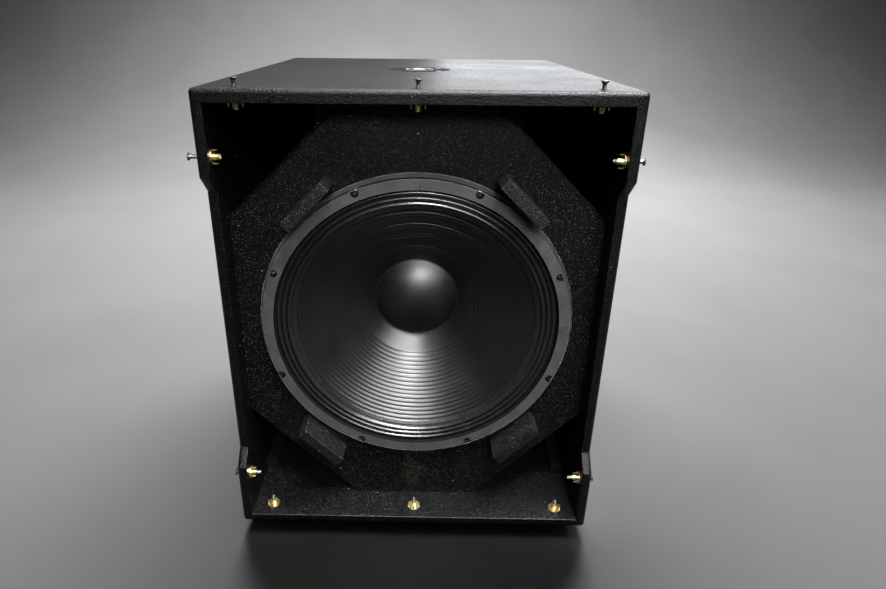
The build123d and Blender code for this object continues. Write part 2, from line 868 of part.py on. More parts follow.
# ---------------------------------------------------------------- driver: suspension

roll_pitch = (roll_outer_r - roll_inner_r) / roll_count
flap_inner_r = 177.5
cone_slope = 0.56
surround_front = [(surround_seat_r, -flange_t - surround_t), (roll_outer_r, -flange_t - surround_t)]
for k in range(roll_count):
    outer_r = roll_outer_r - k * roll_pitch
    surround_front.append((outer_r - roll_pitch / 2, roll_crest))
    if k < roll_count - 1:
        surround_front.append((outer_r - roll_pitch, roll_valley))
flap_s = cone_edge_s - glue_gap - surround_t
surround_front.append((roll_inner_r, flap_s))
surround_front.append((flap_inner_r, flap_s + (roll_inner_r - flap_inner_r) * cone_slope))
surround_back = [(r, s + surround_t) for r, s in reversed(surround_front)]
surround = turned_profile(surround_front + surround_back)
finish(surround, "surround")

spider_rolls = 4
spider_t = 0.7
spider_wave = 3
spider_pitch = (spider_seat_r - 2 - spider_inner_r - 3) / spider_rolls
spider_front = [(spider_outer_r, spider_seat_s - spider_t), (spider_seat_r - 2, spider_seat_s - spider_t)]
for k in range(spider_rolls):
    outer_r = spider_seat_r - 2 - k * spider_pitch
    spider_front.append((outer_r - spider_pitch / 4, spider_seat_s - spider_t - spider_wave))
    spider_front.append((outer_r - 3 * spider_pitch / 4, spider_seat_s - spider_t + spider_wave))
spider_front.append((spider_inner_r + 2, spider_seat_s - spider_t))
spider_front.append((spider_inner_r, spider_seat_s - spider_t))
spider_back = [(r, s + spider_t) for r, s in reversed(spider_front)]
spider = turned_profile(spider_front + spider_back)
finish(spider, "spider")

# ---------------------------------------------------------------- driver: gasket segments and bolts

gasket_mid_r = (gasket_outer_r + gasket_inner_r) / 2


def gasket_segment(start):
    """Quarter of the gasket ring with a stepped joint at each end and two bolt notches."""
    low = start + gasket_gap_deg
    high = start + 90 - gasket_gap_deg
    middle = start + 45
    step = gasket_step_deg
    with BuildPart() as segment:
        with BuildSketch(facing(baffle_y + gasket_front)):
            with BuildLine():
                outer_a = polar(gasket_outer_r, low + step)
                outer_b = polar(gasket_outer_r, high + step)
                step_b = polar(gasket_mid_r, high + step)
                step_b_in = polar(gasket_mid_r, high - step)
                inner_b = polar(gasket_inner_r, high - step)
                inner_a = polar(gasket_inner_r, low - step)
                step_a_in = polar(gasket_mid_r, low - step)
                step_a = polar(gasket_mid_r, low + step)
                ThreePointArc(outer_a, polar(gasket_outer_r, middle), outer_b)
                Line(outer_b, step_b)
                ThreePointArc(step_b, polar(gasket_mid_r, high), step_b_in)
                Line(step_b_in, inner_b)
                ThreePointArc(inner_b, polar(gasket_inner_r, middle), inner_a)
                Line(inner_a, step_a_in)
                ThreePointArc(step_a_in, polar(gasket_mid_r, low), step_a)
                Line(step_a, outer_a)
            make_face()
            for bolt in (start + bolt_start, start + bolt_start + 45):
                x, z = polar(bolt_circle_r, bolt)
                mouth_x, mouth_z = polar(bolt_circle_r + notch_r, bolt)
                with Locations((x, z)):
                    Circle(notch_r, mode=Mode.SUBTRACT)
                with Locations(Location((mouth_x, mouth_z, 0), (0, 0, bolt))):
                    Rectangle(2 * notch_r, 2 * notch_r, mode=Mode.SUBTRACT)
        extrude(amount=gasket_front + flange_t + surround_t)
    return segment


gasket_names = {0: "upper_right", 90: "upper_left", 180: "lower_left", 270: "lower_right"}
for start, corner in gasket_names.items():
    finish(gasket_segment(start), f"gasket_segment_{corner}")

one_driver_bolt = pan_screw(bolt_head_r, bolt_head_h, bolt_r, bolt_length, recess_r=2.7, recess_h=3)
with BuildPart() as driver_bolts:
    for k in range(bolt_count):
        x, z = polar(bolt_circle_r, bolt_start + k * 360 / bolt_count)
        with Locations(outward((x, baffle_y - flange_t, axis_z + z), (0, -1, 0))):
            add(one_driver_bolt)
finish(driver_bolts, "driver_bolts")

with BuildPart() as one_insert_nut:
    with BuildSketch(Plane.XY):
        Circle(tee_flange_r)
    extrude(amount=1.5)
    with BuildSketch(Plane.XY):
        Circle(tee_barrel_r)
    extrude(amount=-(insert_depth - 0.5))
    with BuildSketch(Plane.XY.offset(1.5)):
        Circle(tee_bore_r)
    extrude(amount=-(insert_depth + 1), mode=Mode.SUBTRACT)

with BuildPart() as driver_insert_nuts:
    for k in range(bolt_count):
        x, z = polar(bolt_circle_r, bolt_start + k * 360 / bolt_count)
        with Locations(outward((x, baffle_back_y, axis_z + z), (0, 1, 0))):
            add(one_insert_nut.part)
finish(driver_insert_nuts, "driver_insert_nuts")

# ---------------------------------------------------------------- driver: terminals and leads

terminal_w = 44
terminal_t = 8
terminal_low = basket_floor_r
terminal_front_s = 114
terminal_back_s = 136
terminal_y = baffle_y + (terminal_front_s + terminal_back_s) / 2
stud_length = 6
stud_r = 2.5
tab_x = 12
tab_r = 2.2
tab_length = 3

with BuildPart() as driver_terminals:
    with BuildSketch(facing(baffle_y + terminal_front_s)):
        with Locations((0, -(terminal_low + terminal_t / 2))):
            Rectangle(terminal_w, terminal_t)
    extrude(amount=terminal_front_s - terminal_back_s)
    with BuildSketch(facing(baffle_y + terminal_front_s)):
        with Locations(*[(x, -(terminal_low + terminal_t / 2)) for x in (-tab_x, tab_x)]):
            Circle(tab_r)
    extrude(amount=tab_length)
    with BuildSketch(Plane.XY.offset(axis_z - terminal_low - terminal_t)):
        with Locations((-tab_x, terminal_y), (tab_x, terminal_y)):
            Circle(stud_r)
    extrude(amount=-stud_length)
finish(driver_terminals, "driver_terminals")


def corner_radii(points):
    """Arc radius at each inner point of a route, as large as its two runs allow."""
    corners = [Vector(*p) for p in points]
    radii = []
    for before, here, after in zip(corners, corners[1:], corners[2:]):
        arriving = here - before
        leaving = after - here
        turn = radians(arriving.get_angle(leaving))
        radii.append(0.45 * min(arriving.length, leaving.length) / tan(turn / 2))
    return radii


def tube(points, radius):
    """Round lead along straight runs joined by tangent arcs."""
    radii = corner_radii(points)
    with BuildPart() as lead:
        with BuildLine() as route:
            FilletPolyline(*points, radius=radii)
        with BuildSketch(Plane(origin=points[0], z_dir=Vector(*points[1]) - Vector(*points[0]))):
            Circle(radius)
        sweep(path=route.wires()[0])
    length = sum(edge.length for edge in route.edges())
    ratio = lead.part.volume / (pi * radius**2 * length)
    print(f"lead {length:.0f} mm, volume ratio {ratio:.4f}, radii {[round(r) for r in radii]}")
    return lead


tinsel_r = 1.2
lead_z = axis_z - terminal_low - terminal_t / 2
for node, x in {"tinsel_lead_positive": tab_x, "tinsel_lead_negative": -tab_x}.items():
    tinsel_route = [
        (x, baffle_y + terminal_front_s - tab_length, lead_z),
        (x, baffle_y + 99, lead_z),
        (x, baffle_y + 87, lead_z + 9),
        (x, baffle_y + 76, lead_z + 22),
    ]
    finish(tube(tinsel_route, tinsel_r), node)

wire_r = 2
tab_y = floor_y - socket_body_depth - socket_tab_length
brace_rest_z = axis_z - brace_window / 2 + wire_r + 0.4
stud_z = axis_z - terminal_low - terminal_t - stud_length
for node, side in {"input_wire_positive": 1, "input_wire_negative": -1}.items():
    start_x = side * socket_tab_half - socket_x
    wire_route = [
        (start_x, tab_y, dish_z - socket_tab_half),
        (start_x, tab_y - 22, dish_z - socket_tab_half),
        (start_x + 4, tab_y - 50, dish_z - 4),
        (side * 9 - 12, brace_y + 32, brace_rest_z + 1),
        (side * 8 - 5, brace_y - 18, brace_rest_z + 2),
        (side * 8, brace_y - 80, dish_z - 12),
        (side * 10, brace_y - 150, dish_z - 20),
        (side * tab_x, terminal_y + 46, dish_z - 22),
        (side * tab_x, terminal_y, dish_z - 14),
        (side * tab_x, terminal_y, stud_z),
    ]
    finish(tube(wire_route, wire_r), node)
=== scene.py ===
"""Vented bass cabinet with its grille off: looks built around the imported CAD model."""
import json
import math

import bpy
import numpy as np
from mathutils import Matrix, Vector


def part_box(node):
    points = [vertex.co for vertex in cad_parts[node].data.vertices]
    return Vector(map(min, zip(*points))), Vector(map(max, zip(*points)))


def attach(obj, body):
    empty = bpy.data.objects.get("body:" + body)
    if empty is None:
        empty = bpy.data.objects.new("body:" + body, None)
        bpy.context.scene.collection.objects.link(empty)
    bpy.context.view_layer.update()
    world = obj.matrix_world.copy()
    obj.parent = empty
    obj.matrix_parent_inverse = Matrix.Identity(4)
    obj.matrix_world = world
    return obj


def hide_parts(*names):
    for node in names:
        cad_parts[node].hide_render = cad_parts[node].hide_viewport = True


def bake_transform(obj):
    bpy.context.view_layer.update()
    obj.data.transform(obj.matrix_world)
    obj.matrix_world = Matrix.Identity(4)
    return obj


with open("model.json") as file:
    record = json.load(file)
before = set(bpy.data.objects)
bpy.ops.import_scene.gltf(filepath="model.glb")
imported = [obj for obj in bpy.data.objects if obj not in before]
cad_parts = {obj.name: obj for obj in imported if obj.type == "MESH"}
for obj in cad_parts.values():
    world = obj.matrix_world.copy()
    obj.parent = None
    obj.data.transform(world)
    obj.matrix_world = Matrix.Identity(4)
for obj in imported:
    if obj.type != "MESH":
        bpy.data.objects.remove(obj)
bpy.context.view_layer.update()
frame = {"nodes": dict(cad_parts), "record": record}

nodes = frame["nodes"]
scene = bpy.context.scene
MM = 0.001
WAVE_SCALE = 0.31416    # a wave texture's scale times its pitch

# ---------------------------------------------------------------- places taken from the frame

cone_low, cone_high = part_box("cone")
AXIS_Z = (cone_low.z + cone_high.z) / 2
BAFFLE_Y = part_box("front_baffle")[0].y
TOP_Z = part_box("top_panel")[1].z
HALF_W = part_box("right_side_panel")[1].x


# ---------------------------------------------------------------- camera

def make_camera():
    """Camera in front of the cabinet, above its top edge, looking down at the driver."""
    location = Vector((0.0038, -1.0104, 0.7779))
    yaw = math.radians(-0.687)
    pitch = math.radians(21.554)
    roll = math.radians(0.494)
    forward = Vector((math.sin(yaw) * math.cos(pitch), math.cos(yaw) * math.cos(pitch),
                      -math.sin(pitch)))
    right = Vector((math.cos(yaw), -math.sin(yaw), 0))
    up = right.cross(forward)
    rolled_right = right * math.cos(roll) + up * math.sin(roll)
    rolled_up = up * math.cos(roll) - right * math.sin(roll)
    data = bpy.data.cameras.new("camera")
    data.sensor_width = 36
    data.lens = 23.28
    data.shift_x = 0.0339
    data.shift_y = -0.0522
    data.clip_start = 0.02
    data.clip_end = 50
    camera = bpy.data.objects.new("camera", data)
    turn = Matrix((rolled_right, rolled_up, -forward)).transposed()
    camera.matrix_world = Matrix.Translation(location) @ turn.to_4x4()
    scene.collection.objects.link(camera)
    scene.camera = camera


make_camera()


# ---------------------------------------------------------------- material building blocks

class Look:
    """A node material under construction: one Principled shader and what feeds it."""

    def __init__(self, name, **settings):
        self.material = bpy.data.materials.new(name)
        self.material.use_nodes = True
        self.tree = self.material.node_tree
        self.tree.nodes.clear()
        output = self.node("ShaderNodeOutputMaterial")
        self.shader = self.node("ShaderNodeBsdfPrincipled")
        self.link(self.shader.outputs["BSDF"], output.inputs["Surface"])
        self.coord = self.node("ShaderNodeTexCoord").outputs["Object"]
        for key, value in settings.items():
            self.shader_input(key).default_value = value

    def shader_input(self, key):
        """The shader's socket for a keyword such as specular_ior_level."""
        return self.shader.inputs[key.replace("_", " ").title().replace("Ior", "IOR")]

    def node(self, kind, **settings):
        made = self.tree.nodes.new(kind)
        for key, value in settings.items():
            setattr(made, key, value)
        return made

    def link(self, source, target):
        self.tree.links.new(source, target)

    def feed(self, target, value):
        if hasattr(value, "is_output"):
            self.link(value, target)
        else:
            target.default_value = value

    def noise(self, scale, detail=2.0, rough=0.5, distort=0.0, coord=None):
        made = self.node("ShaderNodeTexNoise")
        self.link(coord or self.coord, made.inputs["Vector"])
        made.inputs["Scale"].default_value = scale
        made.inputs["Detail"].default_value = detail
        made.inputs["Roughness"].default_value = rough
        made.inputs["Distortion"].default_value = distort
        return made.outputs["Fac"]

    def cells(self, scale, feature="F1", output="Distance"):
        made = self.node("ShaderNodeTexVoronoi", feature=feature)
        self.link(self.coord, made.inputs["Vector"])
        made.inputs["Scale"].default_value = scale
        return made.outputs[output]

    def stretched(self, x, y, z):
        """Object coordinates stretched along the axes, for grain and brush marks."""
        made = self.node("ShaderNodeVectorMath", operation="MULTIPLY")
        self.link(self.coord, made.inputs[0])
        made.inputs[1].default_value = (x, y, z)
        return made.outputs["Vector"]

    def wave(self, direction, pitch, distort=0.0):
        """Bands a pitch apart in metres."""
        made = self.node("ShaderNodeTexWave", bands_direction=direction)
        self.link(self.coord, made.inputs["Vector"])
        made.inputs["Scale"].default_value = WAVE_SCALE / pitch
        made.inputs["Distortion"].default_value = distort
        made.inputs["Detail"].default_value = 2.0
        return made.outputs["Fac"]

    def facing_y(self):
        """Y of the face's own direction: -1 where it looks straight out of the front."""
        parts = self.node("ShaderNodeSeparateXYZ")
        self.link(self.node("ShaderNodeNewGeometry").outputs["True Normal"], parts.inputs[0])
        return parts.outputs["Y"]

    def math(self, operation, a, b=0.0):
        made = self.node("ShaderNodeMath", operation=operation)
        self.feed(made.inputs[0], a)
        self.feed(made.inputs[1], b)
        return made.outputs[0]

    def span(self, value, low, high, to_low=0.0, to_high=1.0):
        made = self.node("ShaderNodeMapRange")
        self.link(value, made.inputs["Value"])
        ends = {"From Min": low, "From Max": high, "To Min": to_low, "To Max": to_high}
        for key, number in ends.items():
            made.inputs[key].default_value = number
        return made.outputs["Result"]

    def mixed(self, factor, a, b):
        made = self.node("ShaderNodeMix", data_type="RGBA")
        self.feed(made.inputs["Factor"], factor)
        self.feed(made.inputs[6], colour(a))
        self.feed(made.inputs[7], colour(b))
        return made.outputs[2]

    def bump(self, height, depth, strength=1.0, under=None):
        made = self.node("ShaderNodeBump")
        made.inputs["Strength"].default_value = strength
        made.inputs["Distance"].default_value = depth
        self.link(height, made.inputs["Height"])
        if under is not None:
            self.link(under, made.inputs["Normal"])
        return made.outputs["Normal"]

    def set(self, **values):
        for key, value in values.items():
            self.feed(self.shader_input(key), value)
        return self.material


def colour(value):
    """A grey level or an RGB triple as RGBA; sockets pass through."""
    if hasattr(value, "is_output"):
        return value
    if isinstance(value, (int, float)):
        return (value, value, value, 1.0)
    return (*value, 1.0)


def specks(look, scale, size, share):
    """1 on a few small round specks, 0 elsewhere."""
    near = look.math("LESS_THAN", look.cells(scale), size)
    separate = look.node("ShaderNodeSeparateColor")
    look.link(look.cells(scale, output="Color"), separate.inputs[0])
    chosen = look.math("LESS_THAN", separate.outputs[0], share)
    return look.math("MULTIPLY", near, chosen)


# ---------------------------------------------------------------- materials

# Pale dust, and the near-black of the painted shade on faces that look forwards.
DUST_TONE, PAINTED_SHADE_TONE = 0.55, 0.0008


def textured_paint(name, *, base, light, grain, depth, gloss, dust, shine, painted_sparkle,
                   patchy=0.02, front_shade=1.0):
    """Sprayed black texture paint: rounded droplets, fine pits, a little pale dust, and painted
    glints and painted sparkle.

    patchy is how far the gloss varies from place to place, and the last argument, below 1,
    darkens the faces that look forwards with painted shade.
    """
    look = Look(name, specular_ior_level=shine)
    droplets = look.cells(grain, feature="SMOOTH_F1")
    coarse = look.cells(grain * 0.45, feature="SMOOTH_F1")
    fine = look.noise(grain * 2.4, 3.0, 0.6)
    height = look.math("SUBTRACT", look.math("MULTIPLY", fine, 0.5), droplets)
    height = look.math("SUBTRACT", height, look.math("MULTIPLY", coarse, 0.3))
    broad = look.noise(9.0, 3.0, 0.55)
    tone = look.mixed(look.span(fine, 0.4, 0.75), base, light)
    tone = look.mixed(look.math("MULTIPLY", broad, 0.35), tone, base)
    # Painted glints: bright spots mixed into the colour, standing in for light caught by the
    # droplets.
    painted_glints = look.noise(grain * 1.1, 2.0, 0.7)
    tone = look.mixed(look.span(painted_glints, 0.60, 0.74), tone, light * 6)
    # Painted sparkle: small bright specks in the colour, standing in for glints of light.
    tone = look.mixed(specks(look, scale=640.0, size=0.42, share=0.14), tone, painted_sparkle)
    tone = look.mixed(specks(look, scale=260.0, size=0.14, share=dust), tone, DUST_TONE)
    rough = look.math("ADD", look.span(broad, 0.3, 0.7, gloss - 0.04, gloss + 0.06),
                      look.span(look.noise(270.0, 4.0, 0.8), 0.38, 0.62, -patchy, patchy))
    # Painted shade: faces that look forwards are mixed towards a near-black tone.
    tone = look.mixed(look.span(look.facing_y(), -0.92, -0.55, front_shade, 1.0), PAINTED_SHADE_TONE, tone)
    return look.set(base_color=tone, roughness=rough, normal=look.bump(height, depth))


def plain_plywood():
    """Birch ply: long grain along X, with darker pores."""
    look = Look("birch_plywood", roughness=0.62)
    grain = look.noise(1.0, 6.0, 0.6, 0.6, coord=look.stretched(9.0, 60.0, 130.0))
    pores = look.noise(1.0, 2.0, 0.5, 0.0, coord=look.stretched(60.0, 900.0, 1400.0))
    tone = look.mixed(look.span(grain, 0.3, 0.7), (0.50, 0.35, 0.19), (0.62, 0.47, 0.29))
    tone = look.mixed(look.span(pores, 0.62, 0.72), tone, (0.30, 0.19, 0.10))
    return look.set(base_color=tone, normal=look.bump(pores, 0.0002, 0.4))


def batten_paint():
    """Black stain on sawn softwood, with the grain showing through."""
    look = Look("stained_softwood", roughness=0.6, specular_ior_level=0.1)
    grain = look.noise(1.0, 5.0, 0.6, 0.8, coord=look.stretched(220.0, 8.0, 220.0))
    tone = look.mixed(look.span(grain, 0.35, 0.7), 0.0015, 0.005)
    return look.set(base_color=tone, normal=look.bump(grain, 0.0005, 0.7))


def metal(name, base, tint, rough, brush=(1500.0, 1500.0, 1500.0)):
    """Plated or bare metal with uneven plating and fine marks."""
    look = Look(name, metallic=1.0)
    patches = look.noise(160.0, 4.0, 0.6)
    marks = look.noise(1.0, 3.0, 0.6, coord=look.stretched(*brush))
    tone = look.mixed(look.span(patches, 0.35, 0.68), base, tint)
    roughness = look.span(marks, 0.3, 0.7, rough - 0.07, rough + 0.1)
    return look.set(base_color=tone, roughness=roughness, normal=look.bump(marks, 0.00005, 0.6))


def coated_metal(name, base, light, *, rough, grain, depth, shine):
    """Powder-coated or cast metal."""
    look = Look(name, metallic=0.0, specular_ior_level=shine)
    skin = look.noise(grain, 3.0, 0.6)
    broad = look.noise(30.0, 3.0, 0.5)
    tone = look.mixed(look.span(broad, 0.35, 0.7), base, light)
    roughness = look.span(skin, 0.3, 0.7, rough - 0.06, rough + 0.08)
    return look.set(base_color=tone, roughness=roughness, normal=look.bump(skin, depth))


def moulded_plastic():
    """Black moulded plastic with a fine leather grain."""
    look = Look("moulded_plastic", specular_ior_level=0.5)
    grain = look.cells(900.0, feature="SMOOTH_F1")
    fine = look.noise(2600.0, 2.0)
    broad = look.noise(14.0, 3.0)
    tone = look.mixed(look.span(broad, 0.3, 0.7), 0.012, 0.02)
    height = look.math("ADD", grain, look.math("MULTIPLY", fine, 0.3))
    rough = look.span(fine, 0.3, 0.7, 0.42, 0.54)
    return look.set(base_color=tone, roughness=rough, normal=look.bump(height, 0.00012, 0.8))


def rubber():
    """Matt rubber with a dusty bloom."""
    look = Look("black_rubber", specular_ior_level=0.35)
    bloom = look.noise(120.0, 5.0, 0.65)
    tone = look.mixed(look.span(bloom, 0.45, 0.8), 0.012, 0.045)
    return look.set(base_color=tone, roughness=look.span(bloom, 0.3, 0.7, 0.62, 0.8),
                    normal=look.bump(look.noise(1800.0), 0.00006, 0.6))


def gasket_foam():
    """Dense grey foam rubber with fine open pores, darker on its side faces than on its front and
    back faces.
    """
    look = Look("gasket_foam")
    pores = look.cells(1300.0)
    broad = look.noise(40.0, 4.0, 0.6)
    tone = look.mixed(look.span(broad, 0.35, 0.7),
                      (0.018, 0.0173, 0.0167), (0.029, 0.028, 0.0267))
    tone = look.mixed(look.span(pores, 0.0, 0.22, 0.5, 0.0), tone, 0.012)
    # Side faces get a much darker tone than the front and back faces.
    skin = look.span(look.math("ABSOLUTE", look.facing_y()), 0.6, 0.9)
    tone = look.mixed(skin, 0.0035, tone)
    return look.set(base_color=tone, roughness=look.span(broad, 0.3, 0.7, 0.66, 0.78),
                    specular_ior_level=look.span(skin, 0.0, 1.0, 0.06, 0.35),
                    normal=look.bump(pores, 0.00012, 0.6))


def cone_paper():
    """Coated paper pulp: short fibres in a dark, slightly shiny skin."""
    look = Look("cone_paper", specular_ior_level=0.5)
    fibres = look.noise(1.0, 4.0, 0.65, 2.2, coord=look.stretched(520.0, 520.0, 520.0))
    fine = look.noise(2100.0, 3.0, 0.6)
    broad = look.noise(22.0, 3.0, 0.5)
    tone = look.mixed(look.span(fibres, 0.4, 0.75),
                      (0.0016, 0.0014, 0.0014), (0.006, 0.0055, 0.0055))
    height = look.math("ADD", fibres, look.math("MULTIPLY", fine, 0.5))
    rough = look.span(broad, 0.3, 0.7, 0.30, 0.36)
    return look.set(base_color=tone, roughness=rough, normal=look.bump(height, 0.00012, 0.7))


def dust_cap_paper():
    """Pressed cap with a smooth satin coat and a fine speckle."""
    look = Look("dust_cap_paper", specular_ior_level=0.55)
    fine = look.noise(1500.0, 3.0, 0.65)
    speckle = look.cells(1100.0)
    broad = look.noise(30.0, 2.0)
    tone = look.mixed(look.span(fine, 0.5, 0.75), 0.0008, 0.003)
    height = look.math("SUBTRACT", fine, look.math("MULTIPLY", speckle, 0.4))
    rough = look.span(broad, 0.3, 0.7, 0.38, 0.43)
    return look.set(base_color=tone, roughness=rough, normal=look.bump(height, 0.00016, 0.8))


def spider_cloth():
    """Plain weave, warp along X and weft along Z, with resin filling it."""
    look = Look("spider_cloth", specular_ior_level=0.3)
    pitch, depth = 0.0013, 0.0004
    cloth = look.math("MULTIPLY", look.wave("X", pitch, 0.6), look.wave("Z", pitch, 0.6))
    resin = look.noise(180.0, 4.0, 0.6)
    tone = look.mixed(cloth, (0.42, 0.28, 0.11), (0.70, 0.54, 0.28))
    coat = look.bump(resin, depth * 1.5, 0.5)
    return look.set(base_color=tone, roughness=look.span(resin, 0.35, 0.68, 0.51, 0.7),
                    normal=look.bump(cloth, depth, 0.9, coat))


def surround_dope():
    """Cloth edge under a glossy dope: smooth, with fine grains that catch the light."""
    look = Look("surround_dope", specular_ior_level=0.6)
    grains = look.noise(1500.0, 3.0, 0.7)
    broad = look.noise(40.0, 3.0, 0.5)
    tone = look.mixed(look.span(grains, 0.5, 0.72),
                      (0.003, 0.003, 0.0035), (0.016, 0.015, 0.017))
    rough = look.span(broad, 0.3, 0.7, 0.22, 0.30)
    return look.set(base_color=tone, roughness=rough, normal=look.bump(grains, 0.00010, 0.7))


def foil():
    """Thin aluminium former with light roll marks."""
    return metal("former_foil", (0.62, 0.62, 0.62), (0.72, 0.71, 0.70), rough=0.3,
                 brush=(40.0, 40.0, 900.0))


def coil_wire():
    """Enamelled copper wound in fine turns."""
    look = Look("coil_wire", metallic=1.0)
    turns = look.wave("Y", 0.0004)
    tone = look.mixed(turns, (0.34, 0.13, 0.06), (0.80, 0.40, 0.22))
    return look.set(base_color=tone, roughness=look.span(turns, 0.0, 1.0, 0.42, 0.28),
                    normal=look.bump(turns, 0.00012))


def ferrite():
    """Sintered magnet: dark grey, dry, with small chips."""
    look = Look("ferrite", specular_ior_level=0.4)
    grains = look.noise(700.0, 5.0, 0.7)
    chips = look.cells(260.0)
    tone = look.mixed(look.span(grains, 0.35, 0.7), 0.03, 0.07)
    height = look.math("ADD", grains, look.span(chips, 0.0, 0.2, -0.6, 0.0))
    return look.set(base_color=tone, roughness=look.span(grains, 0.3, 0.7, 0.55, 0.72),
                    normal=look.bump(height, 0.0003))


def felt():
    """Matted grey fibres."""
    look = Look("fibre_felt", roughness=0.95, specular_ior_level=0.1)
    tufts = look.noise(240.0, 6.0, 0.75, 2.5)
    tone = look.mixed(look.span(tufts, 0.3, 0.7), (0.17, 0.175, 0.18), (0.40, 0.41, 0.42))
    return look.set(base_color=tone, sheen_weight=0.4, normal=look.bump(tufts, 0.002, 0.9))


def mesh_screen():
    """Fine woven wire over the vent."""
    look = Look("vent_screen", metallic=1.0)
    wires = look.math("MAXIMUM", look.wave("X", 0.0014), look.wave("Z", 0.0014))
    tone = look.mixed(look.span(wires, 0.55, 0.8), 0.015, 0.35)
    return look.set(base_color=tone, roughness=look.span(wires, 0.0, 1.0, 0.6, 0.35),
                    normal=look.bump(wires, 0.0004))


def insulation(name, base, light):
    """Soft wire insulation with a faint bloom."""
    look = Look(name, specular_ior_level=0.45)
    bloom = look.noise(300.0, 3.0)
    tone = look.mixed(look.span(bloom, 0.3, 0.7), base, light)
    return look.set(base_color=tone, roughness=look.span(bloom, 0.3, 0.7, 0.4, 0.52),
                    normal=look.bump(bloom, 0.00005, 0.5))


def braid():
    """Flat strands of tinsel braided round a cotton core."""
    look = Look("tinsel_braid", metallic=0.7)
    strands = look.math("MULTIPLY", look.wave("DIAGONAL", 0.0009), look.wave("Z", 0.0012))
    tone = look.mixed(strands, (0.22, 0.17, 0.10), (0.75, 0.66, 0.48))
    return look.set(base_color=tone, roughness=look.span(strands, 0.0, 1.0, 0.6, 0.32),
                    normal=look.bump(strands, 0.0002))


def laminate():
    """Brown terminal board with a cloth-filled surface."""
    look = Look("terminal_board", specular_ior_level=0.45)
    cloth = look.math("MULTIPLY", look.wave("X", 0.0009), look.wave("Z", 0.0009))
    tone = look.mixed(cloth, (0.07, 0.035, 0.015), (0.14, 0.08, 0.035))
    return look.set(base_color=tone, roughness=look.span(cloth, 0.0, 1.0, 0.5, 0.4),
                    normal=look.bump(cloth, 0.00006))


def painted_highlight_line(pale):
    """Broken pale line of painted highlight along an edge."""
    look = Look("painted_highlight_edge", roughness=0.5)
    # Painted highlight: a pale line broken up by noise.
    highlight_breaks = look.noise(55.0, 5.0, 0.7)
    return look.set(base_color=look.mixed(look.span(highlight_breaks, 0.38, 0.62), 0.008, pale))


PAINT = textured_paint("textured_paint", base=0.0010, light=0.003, grain=560.0, depth=0.0006,
                       gloss=0.33, dust=0.012, shine=0.16, painted_sparkle=0.036, patchy=0.08,
                       front_shade=0.3)
BAFFLE_PAINT = textured_paint("baffle_paint", base=0.0008, light=0.0025, grain=620.0,
                              depth=0.00030, gloss=0.38, dust=0.006, shine=0.12, painted_sparkle=0.034)
BLOCK_PAINT = textured_paint("block_paint", base=0.002, light=0.006, grain=700.0,
                             depth=0.0005, gloss=0.34, dust=0.010, shine=0.26, painted_sparkle=0.05)
LOOKS = {
    "textured_paint": PAINT,
    "batten_paint": batten_paint(),
    "bare_plywood": plain_plywood(),
    "felt": felt(),
    "yellow_zinc": metal("yellow_zinc", (0.90, 0.66, 0.34), (0.74, 0.72, 0.40), rough=0.32),
    "screw_steel": metal("screw_steel", (0.60, 0.60, 0.58), (0.44, 0.44, 0.45), rough=0.30),
    "black_steel": coated_metal("black_steel", 0.004, 0.010, rough=0.22, grain=900.0,
                                depth=0.00006, shine=0.9),
    "zinc_steel": metal("zinc_steel", (0.58, 0.59, 0.60), (0.48, 0.49, 0.50), rough=0.34),
    "grey_cast": coated_metal("grey_cast", 0.006, 0.014, rough=0.62, grain=800.0,
                              depth=0.0002, shine=0.015),
    "black_metal": coated_metal("black_metal", 0.014, 0.024, rough=0.4, grain=700.0,
                                depth=0.00014, shine=0.55),
    "black_plastic": moulded_plastic(),
    "rubber": rubber(),
    "black_zinc": metal("black_zinc", (0.055, 0.055, 0.06), (0.09, 0.09, 0.10), rough=0.42),
    "ferrite": ferrite(),
    "mesh_metal": mesh_screen(),
    "gasket_cork": gasket_foam(),
    "surround_cloth": surround_dope(),
    "cone_paper": cone_paper(),
    "dust_cap_paper": dust_cap_paper(),
    "former_foil": foil(),
    "copper": coil_wire(),
    "spider_cloth": spider_cloth(),
    "terminal_board": laminate(),
    "tinsel": braid(),
    "red_wire": insulation("red_insulation", (0.36, 0.02, 0.012), (0.48, 0.035, 0.022)),
    "black_wire": insulation("black_insulation", 0.012, 0.022),
}

WELD_DISTANCE, BLOCK_ROUNDING = 0.00001, 0.0009
for part in frame["record"]["subparts"]:
    own = nodes[part["node"]]
    own.data.materials.clear()
    own.data.materials.append(LOOKS[part["material_slot"]])
nodes["front_baffle"].data.materials[0] = BAFFLE_PAINT
for corner in ("upper_left", "upper_right", "lower_left", "lower_right"):
    nodes[f"port_wall_{corner}"].data.materials[0] = BAFFLE_PAINT
    block = nodes[f"grille_block_{corner}"]
    block.data.materials[0] = BLOCK_PAINT
    block.modifiers.new("weld", "WELD").merge_threshold = WELD_DISTANCE
    rounding = block.modifiers.new("rounded_edges", "BEVEL")
    rounding.width, rounding.segments, rounding.limit_method = BLOCK_ROUNDING, 3, "ANGLE"


# ---------------------------------------------------------------- mesh building blocks

def new_piece(name, vertices, faces, slot, body="cabinet", looks=None, sharp=40.0):
    """A smooth-shaded mesh piece in the row frame that rides on a body."""
    mesh = bpy.data.meshes.new(name)
    mesh.from_pydata([tuple(v) for v in vertices], [], faces)
    mesh.materials.append(looks or LOOKS[slot])
    mesh.polygons.foreach_set("use_smooth", [True] * len(mesh.polygons))
    mesh.set_sharp_from_angle(angle=math.radians(sharp))
    mesh.update()
    piece = bpy.data.objects.new(name, mesh)
    scene.collection.objects.link(piece)
    if body:
        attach(piece, body)
    return piece


def angles(steps):
    """Equal steps of one full turn."""
    return [2 * math.pi * k / steps for k in range(steps)]


